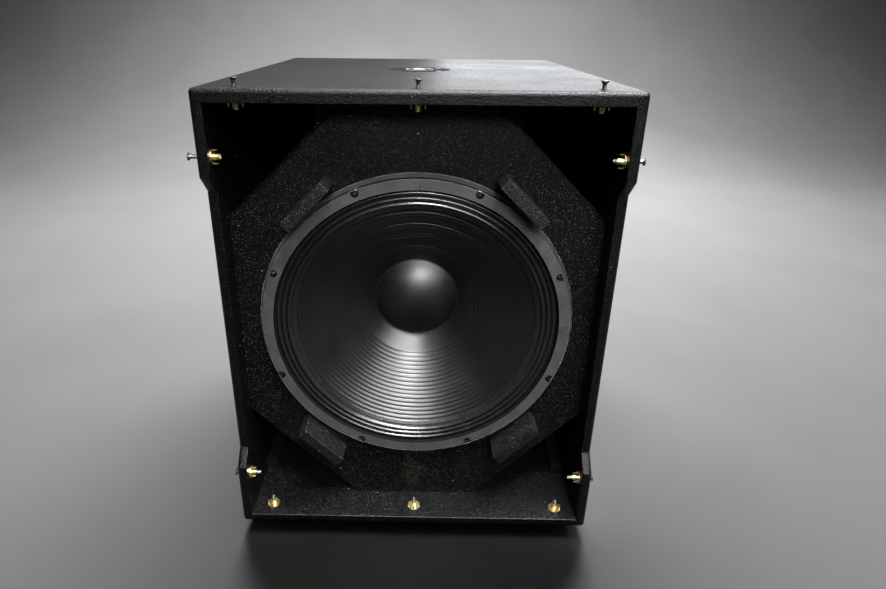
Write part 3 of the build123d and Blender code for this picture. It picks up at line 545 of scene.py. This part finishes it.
def hoop_faces(steps, count, first=0):
    """Quads of a closed hoop: steps sections of count vertices each, from vertex first on."""
    faces = []
    for k in range(steps):
        here, there = first + k * count, first + (k + 1) % steps * count
        for i in range(count):
            j = (i + 1) % count
            faces.append((here + i, there + i, there + j, here + j))
    return faces


def tube_faces(rings, count):
    """Quads between a row of rings, count vertices each, and a flat face at each end."""
    faces = []
    for i in range(rings - 1):
        for k in range(count):
            j = (k + 1) % count
            faces.append((i * count + k, i * count + j, (i + 1) * count + j, (i + 1) * count + k))
    faces.append(tuple(reversed(range(count))))
    faces.append(tuple((rings - 1) * count + k for k in range(count)))
    return faces


def lathe(profile, steps):
    """Vertices and faces of a closed (radius, depth) profile, in mm, about the driver's axis."""
    vertices = []
    for turn in angles(steps):
        c, s = math.cos(turn), math.sin(turn)
        vertices += [(r * MM * c, BAFFLE_Y + depth * MM, AXIS_Z + r * MM * s)
                     for r, depth in profile]
    return vertices, hoop_faces(steps, len(profile))


def thickened(front, thickness):
    """Closed profile: the front line, and the same line moved back."""
    return front + [(r, depth + thickness) for r, depth in reversed(front)]


# ---------------------------------------------------------------- cone

EDGE_R, EDGE_S = 183.5, -3.0
MID_R, MID_S = 92.0, 63.0
CAP_R, CAP_S = 65.5, 85.2
NECK_R, NECK_S = 51.2, 101.0
CONE_T = 1.8
GROOVE_FIRST, GROOVE_PITCH, GROOVES = 92.0, 5.34, 17
RIB_HEIGHT = 0.95
CAP_STEP = 0.9                  # the cone's surface stands this far behind the cap's rim
FINE_STEP, COARSE_STEP = 0.22, 0.55
FINE_WITHIN = 0.75              # of a groove's middle
LATHE_STEPS = 288


def circle_through(a, b, c):
    """Centre and radius of the circle through three (r, s) points."""
    ax, ay, bx, by, cx, cy = *a, *b, *c
    d = 2 * (ax * (by - cy) + bx * (cy - ay) + cx * (ay - by))
    aa, bb, cc = ax * ax + ay * ay, bx * bx + by * by, cx * cx + cy * cy
    ux = (aa * (by - cy) + bb * (cy - ay) + cc * (ay - by)) / d
    uy = (aa * (cx - bx) + bb * (ax - cx) + cc * (bx - ax)) / d
    return ux, uy, math.hypot(ax - ux, ay - uy)


arc_r, arc_s, arc_radius = circle_through((EDGE_R, EDGE_S), (MID_R, MID_S),
                                          (CAP_R, CAP_S + CAP_STEP))
arc_side = 1 if MID_S > arc_s else -1


def cone_depth(r):
    """Depth of the cone's smooth front surface at radius r."""
    return arc_s + arc_side * math.sqrt(max(arc_radius**2 - (r - arc_r) ** 2, 0))


def rib(r):
    """Height of the pressed rings over the smooth surface: rounded ridges, narrow grooves."""
    phase = (r - GROOVE_FIRST) / GROOVE_PITCH
    if phase < -0.5 or phase > GROOVES - 0.5:
        return 0.0
    return RIB_HEIGHT * (math.sqrt(abs(math.sin(math.pi * phase))) - 1)


def make_cone():
    """Curved paper cone with its pressed rings, from the neck to the edge under the surround."""
    hidden = [(56.0, 95.6), (61.0, 90.2)]       # under the dust cap
    front = [(NECK_R, NECK_S), *hidden, (CAP_R, CAP_S + CAP_STEP)]
    r = CAP_R + 1.2
    while r < EDGE_R:
        front.append((r, cone_depth(r) - rib(r)))
        near = abs(((r - GROOVE_FIRST) / GROOVE_PITCH + 0.5) % 1 - 0.5) * GROOVE_PITCH
        r += FINE_STEP if near < FINE_WITHIN and r > GROOVE_FIRST - 3 else COARSE_STEP
    front.append((EDGE_R, cone_depth(EDGE_R)))
    back = [(r, cone_depth(r) + CONE_T) for r in np.linspace(EDGE_R, CAP_R, 24)]
    back += [(hidden[1][0], hidden[1][1] + CONE_T), (NECK_R, NECK_S + CONE_T)]
    vertices, faces = lathe(front + back, LATHE_STEPS)
    cone = new_piece("cone_with_rings", vertices, faces, "cone_paper", "moving_assembly", sharp=60)
    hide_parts("cone")


make_cone()

# ---------------------------------------------------------------- dust cap

CAP_HEIGHT, CAP_T = 25.0, 1.0
cap_radius = (CAP_R**2 + CAP_HEIGHT**2) / (2 * CAP_HEIGHT)
cap_centre = CAP_S - CAP_HEIGHT + cap_radius


def cap_depth(r):
    """Depth of the cap's front at radius r."""
    return cap_centre - math.sqrt(cap_radius**2 - r * r)


def make_dust_cap():
    """Domed cap with a rolled rim, and the bead of glue that holds it to the cone."""
    pole = 0.05     # a hole too small to see, so that the middle has no thin triangles
    front = [(pole, cap_depth(pole))]
    front += [(r, cap_depth(r)) for r in np.linspace(1.5, CAP_R - 1.6, 44)]
    front += [(CAP_R - 1.0, CAP_S - 0.75), (CAP_R - 0.3, CAP_S - 0.55), (CAP_R, CAP_S - 0.1)]
    back = [(r, cap_depth(r) + CAP_T) for r in np.linspace(CAP_R - 0.6, pole, 24)]
    vertices, faces = lathe(front + back, 160)
    cap = new_piece("domed_dust_cap", vertices, faces, "dust_cap_paper", "moving_assembly",
                    sharp=60)
    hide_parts("dust_cap")
    bead = [(CAP_R + 1.3 + 1.15 * math.cos(turn), CAP_S - 0.35 + 0.8 * math.sin(turn))
            for turn in angles(14)]
    vertices, faces = lathe(bead, 200)
    new_piece("dust_cap_glue_bead", vertices, faces, "dust_cap_paper", "moving_assembly", sharp=80)


make_dust_cap()

# ---------------------------------------------------------------- painted edge highlights

def make_highlight_beads():
    """Two fine beads of painted highlight: round the rim's front edge and round the gasket's outer
    front edge.
    """
    # Painted highlight: pale broken lines along the rim's and the gasket's front edges.
    edge_highlight = painted_highlight_line(0.11)
    for name, radius, depth, width, slot in (
            ("rim_painted_highlight", 229.8, -3.9, 0.42, "black_metal"),
            ("gasket_painted_highlight", 224.2, -14.8, 0.32, "gasket_cork")):
        bead = [(radius + width * math.cos(turn), depth + width * math.sin(turn))
                for turn in (math.pi * k / 3 for k in range(6))]
        vertices, faces = lathe(bead, 240)
        new_piece(name, vertices, faces, slot, "cabinet", edge_highlight, sharp=80)


make_highlight_beads()

# ---------------------------------------------------------------- surround and spider

ROLL_OUT, ROLL_IN, ROLLS = 207.4, 184.0, 3
CREST, VALLEY = -9.4, -5.0
SEAT_R, SEAT_S, CLOTH_T = 214.0, -4.8, 0.8
LAST_VALLEY = -3.9              # where the last roll meets the cone
FLAP_IN = 177.5
ROLL_ROUNDNESS = 0.8            # below 1 widens the crests


def blended_between(piece, inner, outer):
    """Bakes the piece's placement into its mesh."""
    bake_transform(piece)


def make_surround():
    """Accordion edge: three rounded rolls between the seat on the frame and the cone's flap."""
    front = [(SEAT_R, SEAT_S), (ROLL_OUT + 0.6, SEAT_S)]
    pitch = (ROLL_OUT - ROLL_IN) / ROLLS
    for k in range(ROLLS * 16 + 1):
        share = k / 16
        r = ROLL_OUT - share * pitch
        low = VALLEY if 0.4 < share < ROLLS - 0.4 else (SEAT_S if share < 1 else LAST_VALLEY)
        height = abs(math.sin(math.pi * share)) ** ROLL_ROUNDNESS
        front.append((r, low + (CREST - low) * height))
    for k in range(1, 9):
        r = ROLL_IN + (FLAP_IN - ROLL_IN) * k / 8
        front.append((r, cone_depth(min(r, EDGE_R)) - 0.5 - CLOTH_T))
    vertices, faces = lathe(thickened(front, CLOTH_T), LATHE_STEPS)
    piece = new_piece("accordion_surround", vertices, faces, "surround_cloth", None, sharp=70)
    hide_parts("surround")
    blended_between(piece, ROLL_IN, ROLL_OUT)


def make_spider():
    """Corrugated cloth disc that centres the coil."""
    low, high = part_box("spider")
    inner, outer, seat = 51.55, 97.0, 86.0
    cloth, wave, waves, per_wave = 0.7, 2.6, 4, 14
    face = ((low.y + high.y) / 2 - BAFFLE_Y) / MM - cloth / 2
    front = [(outer, face), (seat, face)]
    for k in range(1, waves * per_wave):
        r = seat - (seat - inner - 3) * k / (waves * per_wave)
        front.append((r, face - wave * math.sin(2 * math.pi * k / per_wave)))
    front += [(inner + 2, face), (inner, face)]
    vertices, faces = lathe(thickened(front, cloth), 144)
    piece = new_piece("corrugated_spider", vertices, faces, "spider_cloth", None, sharp=70)
    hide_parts("spider")
    blended_between(piece, inner + 2, seat)


make_surround()
make_spider()


# ---------------------------------------------------------------- grille screws

def turned_about(origin, axis, rings, steps):
    """Vertices and faces of rings given as functions of angle, stacked along an axis."""
    side = axis.orthogonal().normalized()
    other = axis.cross(side)
    vertices = []
    for ring in rings:
        for turn in angles(steps):
            radius, height = ring(turn)
            outward = side * math.cos(turn) + other * math.sin(turn)
            vertices.append(origin + axis * height + outward * radius)
    return vertices, tube_faces(len(rings), steps)


def solid_parts(name):
    """The separate solids of a CAD node, each as an array of its vertices."""
    mesh = nodes[name].data
    places = np.array([v.co for v in mesh.vertices])
    keys = {}
    merged = np.array([keys.setdefault(tuple(np.round(p, 6)), len(keys)) for p in places])
    parent = list(range(len(keys)))

    def find(i):
        while parent[i] != i:
            parent[i] = parent[parent[i]]
            i = parent[i]
        return i

    for edge in mesh.edges:
        a, b = (find(merged[v]) for v in edge.vertices)
        parent[a] = b
    groups = {}
    for index, key in enumerate(merged):
        groups.setdefault(find(key), []).append(index)
    return [places[ids] for ids in groups.values()]


SCREW_HEAD_R, SCREW_HEAD_H, SCREW_R = 5.6 * MM, 3.2 * MM, 2.95 * MM
THREAD_PITCH, THREAD_DEPTH, ROWS_PER_TURN = 1.0 * MM, 0.62 * MM, 5
SCREW_NECK, SCREW_POINT, HEAD_EDGE = 0.4 * MM, 0.5 * MM, 0.35 * MM


def screw_rings(length):
    """Countersunk screw with a helical thread: head at height 0, tip at -length."""
    def plain(radius, height):
        return lambda turn: (radius, height)

    start = -SCREW_HEAD_H - SCREW_NECK
    rings = [plain(SCREW_HEAD_R * 0.42, -0.05 * MM), plain(SCREW_HEAD_R - HEAD_EDGE, 0.0),
             plain(SCREW_HEAD_R, -HEAD_EDGE), plain(SCREW_R + 0.2 * MM, -SCREW_HEAD_H),
             plain(SCREW_R, start)]
    row_height = THREAD_PITCH / ROWS_PER_TURN
    rows = int((length - SCREW_HEAD_H - SCREW_NECK - SCREW_POINT) / row_height)

    def thread(row):
        height = start - row * THREAD_PITCH / ROWS_PER_TURN
        fade = min(1.0, row / 6, (rows - row) / 6 + 0.15)

        def ring(turn):
            phase = (-height / THREAD_PITCH - turn / (2 * math.pi)) % 1
            return SCREW_R - THREAD_DEPTH * fade * abs(2 * phase - 1), height

        return ring

    core = SCREW_R - THREAD_DEPTH
    rings += [thread(row) for row in range(rows)]
    rings += [plain(core, -length + SCREW_POINT), plain(core - SCREW_POINT, -length)]
    return rings


def grille_screw_places():
    """For each CAD grille screw: the way its head points, its head's middle and its length."""
    for places in solid_parts("grille_screws"):
        low, high = places.min(0), places.max(0)
        middle = (low + high) / 2
        along = 0 if (high - low)[0] > (high - low)[2] else 2
        sign = 1 if middle[along] > (0, 0, AXIS_Z)[along] else -1
        axis, head = Vector(), Vector(middle)
        axis[along] = sign
        head[along] = high[along] if sign > 0 else low[along]
        yield axis, head, float((high - low).max())


def make_grille_screws():
    """Ten countersunk M6 screws: the top and bottom ones dark, the side ones bright."""
    vertices, faces, marks = [], [], []
    for axis, head, length in grille_screw_places():
        more, quads = turned_about(head, axis, screw_rings(length), 20)
        first = len(vertices)
        vertices += more
        faces += [tuple(first + i for i in quad) for quad in quads]
        marks += [0 if axis.x else 1] * len(quads)
    piece = new_piece("threaded_grille_screws", vertices, faces, "screw_steel", "cabinet", sharp=35)
    piece.data.materials.append(LOOKS["black_zinc"])
    piece.data.polygons.foreach_set("material_index", marks)
    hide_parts("grille_screws")


make_grille_screws()


# ---------------------------------------------------------------- pole socket and paint rims

def make_pole_socket():
    """Rounded helical ridge down the wall of the pole socket, and two rings of painted highlight on
    its plate.
    """
    low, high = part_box("pole_mount_plate")
    bore_r, pitch, turns, steps = 8.65 * MM, 2.5 * MM, 9, 40
    top_gap, root, crest, fade_steps = 2.2 * MM, 0.1 * MM, -0.55 * MM, 14
    x, y = (low.x + high.x) / 2, (low.y + high.y) / 2
    section = [(root, -0.9 * MM), (crest, -0.25 * MM), (crest, 0.25 * MM), (root, 0.9 * MM)]
    vertices = []
    count = turns * steps + 1
    for k in range(count):
        turn = 2 * math.pi * k / steps
        height = high.z - top_gap - pitch * k / steps
        fade = min(1.0, k / fade_steps, (count - 1 - k) / fade_steps)
        for out, up in section:
            radius = bore_r + (out if out > 0 else out * fade)
            vertices.append((x + radius * math.cos(turn), y + radius * math.sin(turn), height + up))
    new_piece("pole_socket_thread", vertices, tube_faces(count, len(section)), "grey_cast",
              "cabinet", LOOKS["screw_steel"], sharp=50)
    # Painted highlights: two pale rings on the plate.
    vertices, faces = [], []
    steps, sides = 96, 8
    for radius, width in ((9.9 * MM, 0.55 * MM), (23.5 * MM, 0.45 * MM)):
        faces += hoop_faces(steps, sides, len(vertices))
        for turn in angles(steps):
            for around in angles(sides):
                out = radius + width * math.cos(around)
                vertices.append((x + out * math.cos(turn), y + out * math.sin(turn),
                                 high.z + width * (0.55 + math.sin(around))))
    new_piece("pole_socket_highlight_rings", vertices, faces, "grey_cast", "cabinet", painted_highlight_line(0.5),
              sharp=80)


def make_paint_rims():
    """Lumpy rims of paint pushed up where the grille screws enter the top and the sides."""
    rng = np.random.default_rng(11)
    vertices, faces = [], []
    steps, sides = 36, 8
    rim_r, rim_width, rim_height = 4.6, 1.5, 0.75
    for axis, seat, _ in grille_screw_places():
        if axis.z < 0:
            continue
        if axis.z:
            seat.z = TOP_Z
        else:
            seat.x = HALF_W * axis.x
        side = axis.orthogonal().normalized()
        other = axis.cross(side)
        lumps = rng.uniform(0.55, 1.25, steps)
        lumps = (lumps + np.roll(lumps, 1) + np.roll(lumps, -1)) / 3
        faces += hoop_faces(steps, sides, len(vertices))
        for turn, lump in zip(angles(steps), lumps):
            outward = side * math.cos(turn) + other * math.sin(turn)
            for around in angles(sides):
                radius = (rim_r + rim_width * lump * math.cos(around)) * MM
                height = rim_height * lump * math.sin(around) * MM
                vertices.append(seat + outward * radius + axis * height)
    new_piece("paint_rims_round_screws", vertices, faces, "textured_paint", "cabinet", BLOCK_PAINT,
              sharp=80)


make_pole_socket()
make_paint_rims()


# ---------------------------------------------------------------- wires and leads

def route(*points):
    """Route points given in millimetres as (x, depth behind the middle, height)."""
    return [Vector(point) * MM for point in points]


def smooth_line(points, steps):
    """The quadratic B-spline that a NURBS curve of order 3 draws through its control points."""
    line = [points[0]]
    for i in range(1, len(points) - 1):
        start = points[0] if i == 1 else (points[i - 1] + points[i]) / 2
        end = points[-1] if i == len(points) - 2 else (points[i] + points[i + 1]) / 2
        for k in range(1, steps + 1):
            t = k / steps
            line.append(start * (1 - t) ** 2 + points[i] * 2 * t * (1 - t) + end * t * t)
    return line


def line_length(line):
    return sum((b - a).length for a, b in zip(line, line[1:]))


def lead_curve(name, points, radius, slot):
    """Smooth round lead along the route's own points."""
    curve = bpy.data.curves.new(name, "CURVE")
    curve.dimensions = "3D"
    curve.bevel_depth = radius
    curve.bevel_resolution = 5
    curve.resolution_u = 12
    curve.use_fill_caps = True
    curve.materials.append(LOOKS[slot])
    spline = curve.splines.new("NURBS")
    spline.points.add(len(points) - 1)
    for point, place in zip(spline.points, points):
        point.co = (*place, 1)
    spline.order_u = 3
    spline.use_endpoint_u = True
    lead = bpy.data.objects.new(name, curve)
    scene.collection.objects.link(lead)
    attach(lead, "cabinet")
    return lead


def make_input_wires():
    """Two insulated wires from the input socket to the driver's terminals."""
    for side, start_x, pole in ((1, -22, "positive"), (-1, -34, "negative")):
        points = route(
            (start_x, 247, 214), (start_x, 225, 214), (start_x + 4, 197, 216),
            (9 * side - 12, 162, 213.4), (8 * side - 5, 112, 214.4), (8 * side, 50, 208),
            (10 * side, -20, 200), (12 * side, -85, 198), (12 * side, -131, 206),
            (12 * side, -131, 242))
        slot = "red_wire" if side > 0 else "black_wire"
        wire = lead_curve(f"input_wire_{pole}_insulated", points, 2 * MM, slot)
        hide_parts(f"input_wire_{pole}")
        tuple(points[0])
        line_length(smooth_line(points, 40))


def make_tinsel_leads():
    """Two braided leads from the terminals to the coil's former."""
    for x, pole in ((12, "positive"), (-12, "negative")):
        points = route((x, -145, 252), (x, -157, 252), (x, -169, 261), (x, -180, 274))
        line = smooth_line(points, 24)
        steps, strands, lay_length = 18, 3, 0.9 * MM
        lead_r, groove = 1.08 * MM, 0.11
        vertices = []
        side = Vector((1, 0, 0))
        run = 0.0
        for i, place in enumerate(line):
            ahead = (line[min(i + 1, len(line) - 1)] - line[max(i - 1, 0)]).normalized()
            other = ahead.cross(side).normalized()
            run += (place - line[i - 1]).length if i else 0.0
            for turn in angles(steps):
                radius = lead_r * (1 + groove * math.cos(strands * turn + run / lay_length))
                vertices.append(place + (side * math.cos(turn) + other * math.sin(turn)) * radius)
        lead = new_piece(f"tinsel_lead_{pole}_braided", vertices, tube_faces(len(line), steps),
                         "tinsel", None, sharp=60)
        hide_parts(f"tinsel_lead_{pole}")
        tuple(line[0])
        tuple(line[-1])
        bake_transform(lead)
        tuple(line[0])
        line_length(line)
        [tuple(p) for p in line]


make_input_wires()
make_tinsel_leads()


# ---------------------------------------------------------------- damping felt on the rear panel

def make_damping_mat():
    """Loose fibre felt on the rear panel: tufted front, pulled-in edges, cut out round the dish."""
    low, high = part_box("damping_mat")
    places = np.array([v.co for v in nodes["damping_mat"].data.vertices])
    margin = 0.05
    inside = places[(places[:, 0] > low.x + margin) & (places[:, 0] < high.x - margin)
                    & (places[:, 2] > low.z + margin) & (places[:, 2] < high.z - margin)]
    cut_low, cut_high = inside.min(0), inside.max(0)
    across = np.unique(np.concatenate([np.linspace(low.x, high.x, 56), [cut_low[0], cut_high[0]]]))
    upward = np.unique(np.concatenate([np.linspace(low.z, high.z, 72), [cut_low[2], cut_high[2]]]))
    thick = high.y - low.y
    rng = np.random.default_rng(4)
    waves = [(rng.uniform(6, 60), rng.uniform(6, 60), rng.uniform(0, 6.3), rng.uniform(0.3, 1))
             for _ in range(26)]
    edge_width, edge_share, crown_share, lump_share = 0.022, 0.30, 0.52, 0.16

    def front(x, z):
        rim = min(x - low.x, high.x - x, z - low.z, high.z - z)
        hole = max(cut_low[0] - x, x - cut_high[0], cut_low[2] - z, z - cut_high[2])
        edge = min(max(min(rim, hole), 0) / edge_width, 1.0)
        crown = math.sqrt(1 - (1 - edge) ** 2)
        lump = sum(a * math.sin(fx * x + fz * z + p) for fx, fz, p, a in waves) / 14
        lump = max(-1.0, min(1.0, lump))
        return high.y - thick * (edge_share + crown * (crown_share + lump_share * lump))

    columns, rows = len(across), len(upward)
    vertices = [(x, high.y, z) for x in across for z in upward]
    vertices += [(x, front(x, z), z) for x in across for z in upward]
    middle = (cut_low + cut_high) / 2
    half = (cut_high - cut_low) / 2

    def kept(i, j):
        if not (0 <= i < columns - 1 and 0 <= j < rows - 1):
            return False
        x, z = (across[i] + across[i + 1]) / 2, (upward[j] + upward[j + 1]) / 2
        return abs(x - middle[0]) > half[0] or abs(z - middle[2]) > half[2]

    def at(layer, i, j):
        return layer * columns * rows + i * rows + j

    borders = ((0, -1, (0, 0), (1, 0)), (0, 1, (1, 1), (0, 1)),
               (-1, 0, (0, 1), (0, 0)), (1, 0, (1, 0), (1, 1)))
    faces = []
    for i in range(columns - 1):
        for j in range(rows - 1):
            if not kept(i, j):
                continue
            faces.append((at(0, i, j), at(0, i, j + 1), at(0, i + 1, j + 1), at(0, i + 1, j)))
            faces.append((at(1, i, j), at(1, i + 1, j), at(1, i + 1, j + 1), at(1, i, j + 1)))
            for di, dj, a, b in borders:
                if not kept(i + di, j + dj):
                    p, q = (i + a[0], j + a[1]), (i + b[0], j + b[1])
                    faces.append((at(0, *p), at(0, *q), at(1, *q), at(1, *p)))
    used = sorted({v for face in faces for v in face})
    renumbered = {v: k for k, v in enumerate(used)}
    mat = new_piece("tufted_damping_mat", [vertices[v] for v in used],
                    [tuple(renumbered[v] for v in face) for face in faces],
                    "felt", "cabinet", sharp=180)
    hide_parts("damping_mat")


make_damping_mat()

# ---------------------------------------------------------------- floor, backdrop and light

def make_stage():
    """Pale floor that curves up into a wall. Returns what the front lights leave out: the floor."""
    look = Look("pale_floor", roughness=0.75, specular_ior_level=0.2)
    tone = look.mixed(look.span(look.noise(3.0, 3.0), 0.3, 0.7), 0.50, 0.54)
    look.set(base_color=tone)
    size, back, radius, wall_top, steps = 6.0, 3.2, 1.4, 4.5, 12
    profile = [(-size, 0.0), (back - radius, 0.0)]
    for k in range(1, steps + 1):
        turn = math.pi / 2 * k / steps
        profile.append((back - radius + radius * math.sin(turn), radius - radius * math.cos(turn)))
    profile.append((back, wall_top))
    vertices = [(x, y, z) for y, z in profile for x in (-size, size)]
    faces = [(2 * i, 2 * i + 1, 2 * i + 3, 2 * i + 2) for i in range(len(profile) - 1)]
    mesh = bpy.data.meshes.new("studio_floor")
    mesh.from_pydata(vertices, [], faces)
    mesh.materials.append(look.material)
    mesh.polygons.foreach_set("use_smooth", [True] * len(mesh.polygons))
    floor = bpy.data.objects.new("studio_floor", mesh)
    scene.collection.objects.link(floor)
    unlit = bpy.data.collections.new("not_lit_from_the_front")
    unlit.objects.link(floor)
    unlit.collection_objects[0].light_linking.link_state = "EXCLUDE"
    return unlit


def soft_light(name, place, aim, size, power, spread=180, tint=(1, 1, 1), leaves_out=None):
    """Area light at a place, aimed at a point: size in m, power in W, spread in degrees."""
    data = bpy.data.lights.new(name, "AREA")
    data.shape = "RECTANGLE"
    data.size, data.size_y = size
    data.energy = power
    data.spread = math.radians(spread)
    data.color = tint
    lamp = bpy.data.objects.new(name, data)
    lamp.location = place
    lamp.rotation_mode = "QUATERNION"
    lamp.rotation_quaternion = (Vector(aim) - Vector(place)).to_track_quat("-Z", "Y")
    lamp.light_linking.receiver_collection = leaves_out
    scene.collection.objects.link(lamp)


def make_light(unlit):
    """Lights above the front for the paint and the cone, lights for the top and the stage."""
    for name, place, aim, size, power, spread in (
            ("key_light", (0.17, -1.70, 1.40), (0, -0.25, 0.40), (0.62, 0.42), 2.5, 36),
            ("right_light", (0.80, -1.45, 1.44), (0, -0.25, 0.38), (0.7, 0.5), 1.3, 36),
            ("front_light", (0.3, -1.35, 2.9), (0, -0.3, 0.1), (0.6, 0.5), 5.0, 26),
            ("fill_light", (0.0, -1.75, 0.95), (0, -0.25, 0.55), (0.5, 0.3), 0.03, 40),
            ("overhead_light", (0.80, -0.30, 2.2), (0.35, -0.3, 0.7), (1.1, 1.2), 34, 50)):
        soft_light(name, place, aim, size, power, spread, leaves_out=unlit)
    soft_light("rear_light", (0.90, 2.5, 1.2), (0.1, 0.0, 0.7), (1.7, 0.7), 16,
               tint=(0.93, 0.96, 1.0))
    soft_light("floor_light", (0, 1.8, 3.0), (0, 1.3, 0), (2.6, 1.0), 60, spread=120)
    world = bpy.data.worlds.new("studio")
    world.use_nodes = True
    background = world.node_tree.nodes["Background"]
    background.inputs["Color"].default_value = (0.80, 0.80, 0.82, 1)
    background.inputs["Strength"].default_value = 0.006
    scene.world = world
    scene.view_settings.view_transform = "Standard"


make_light(make_stage())
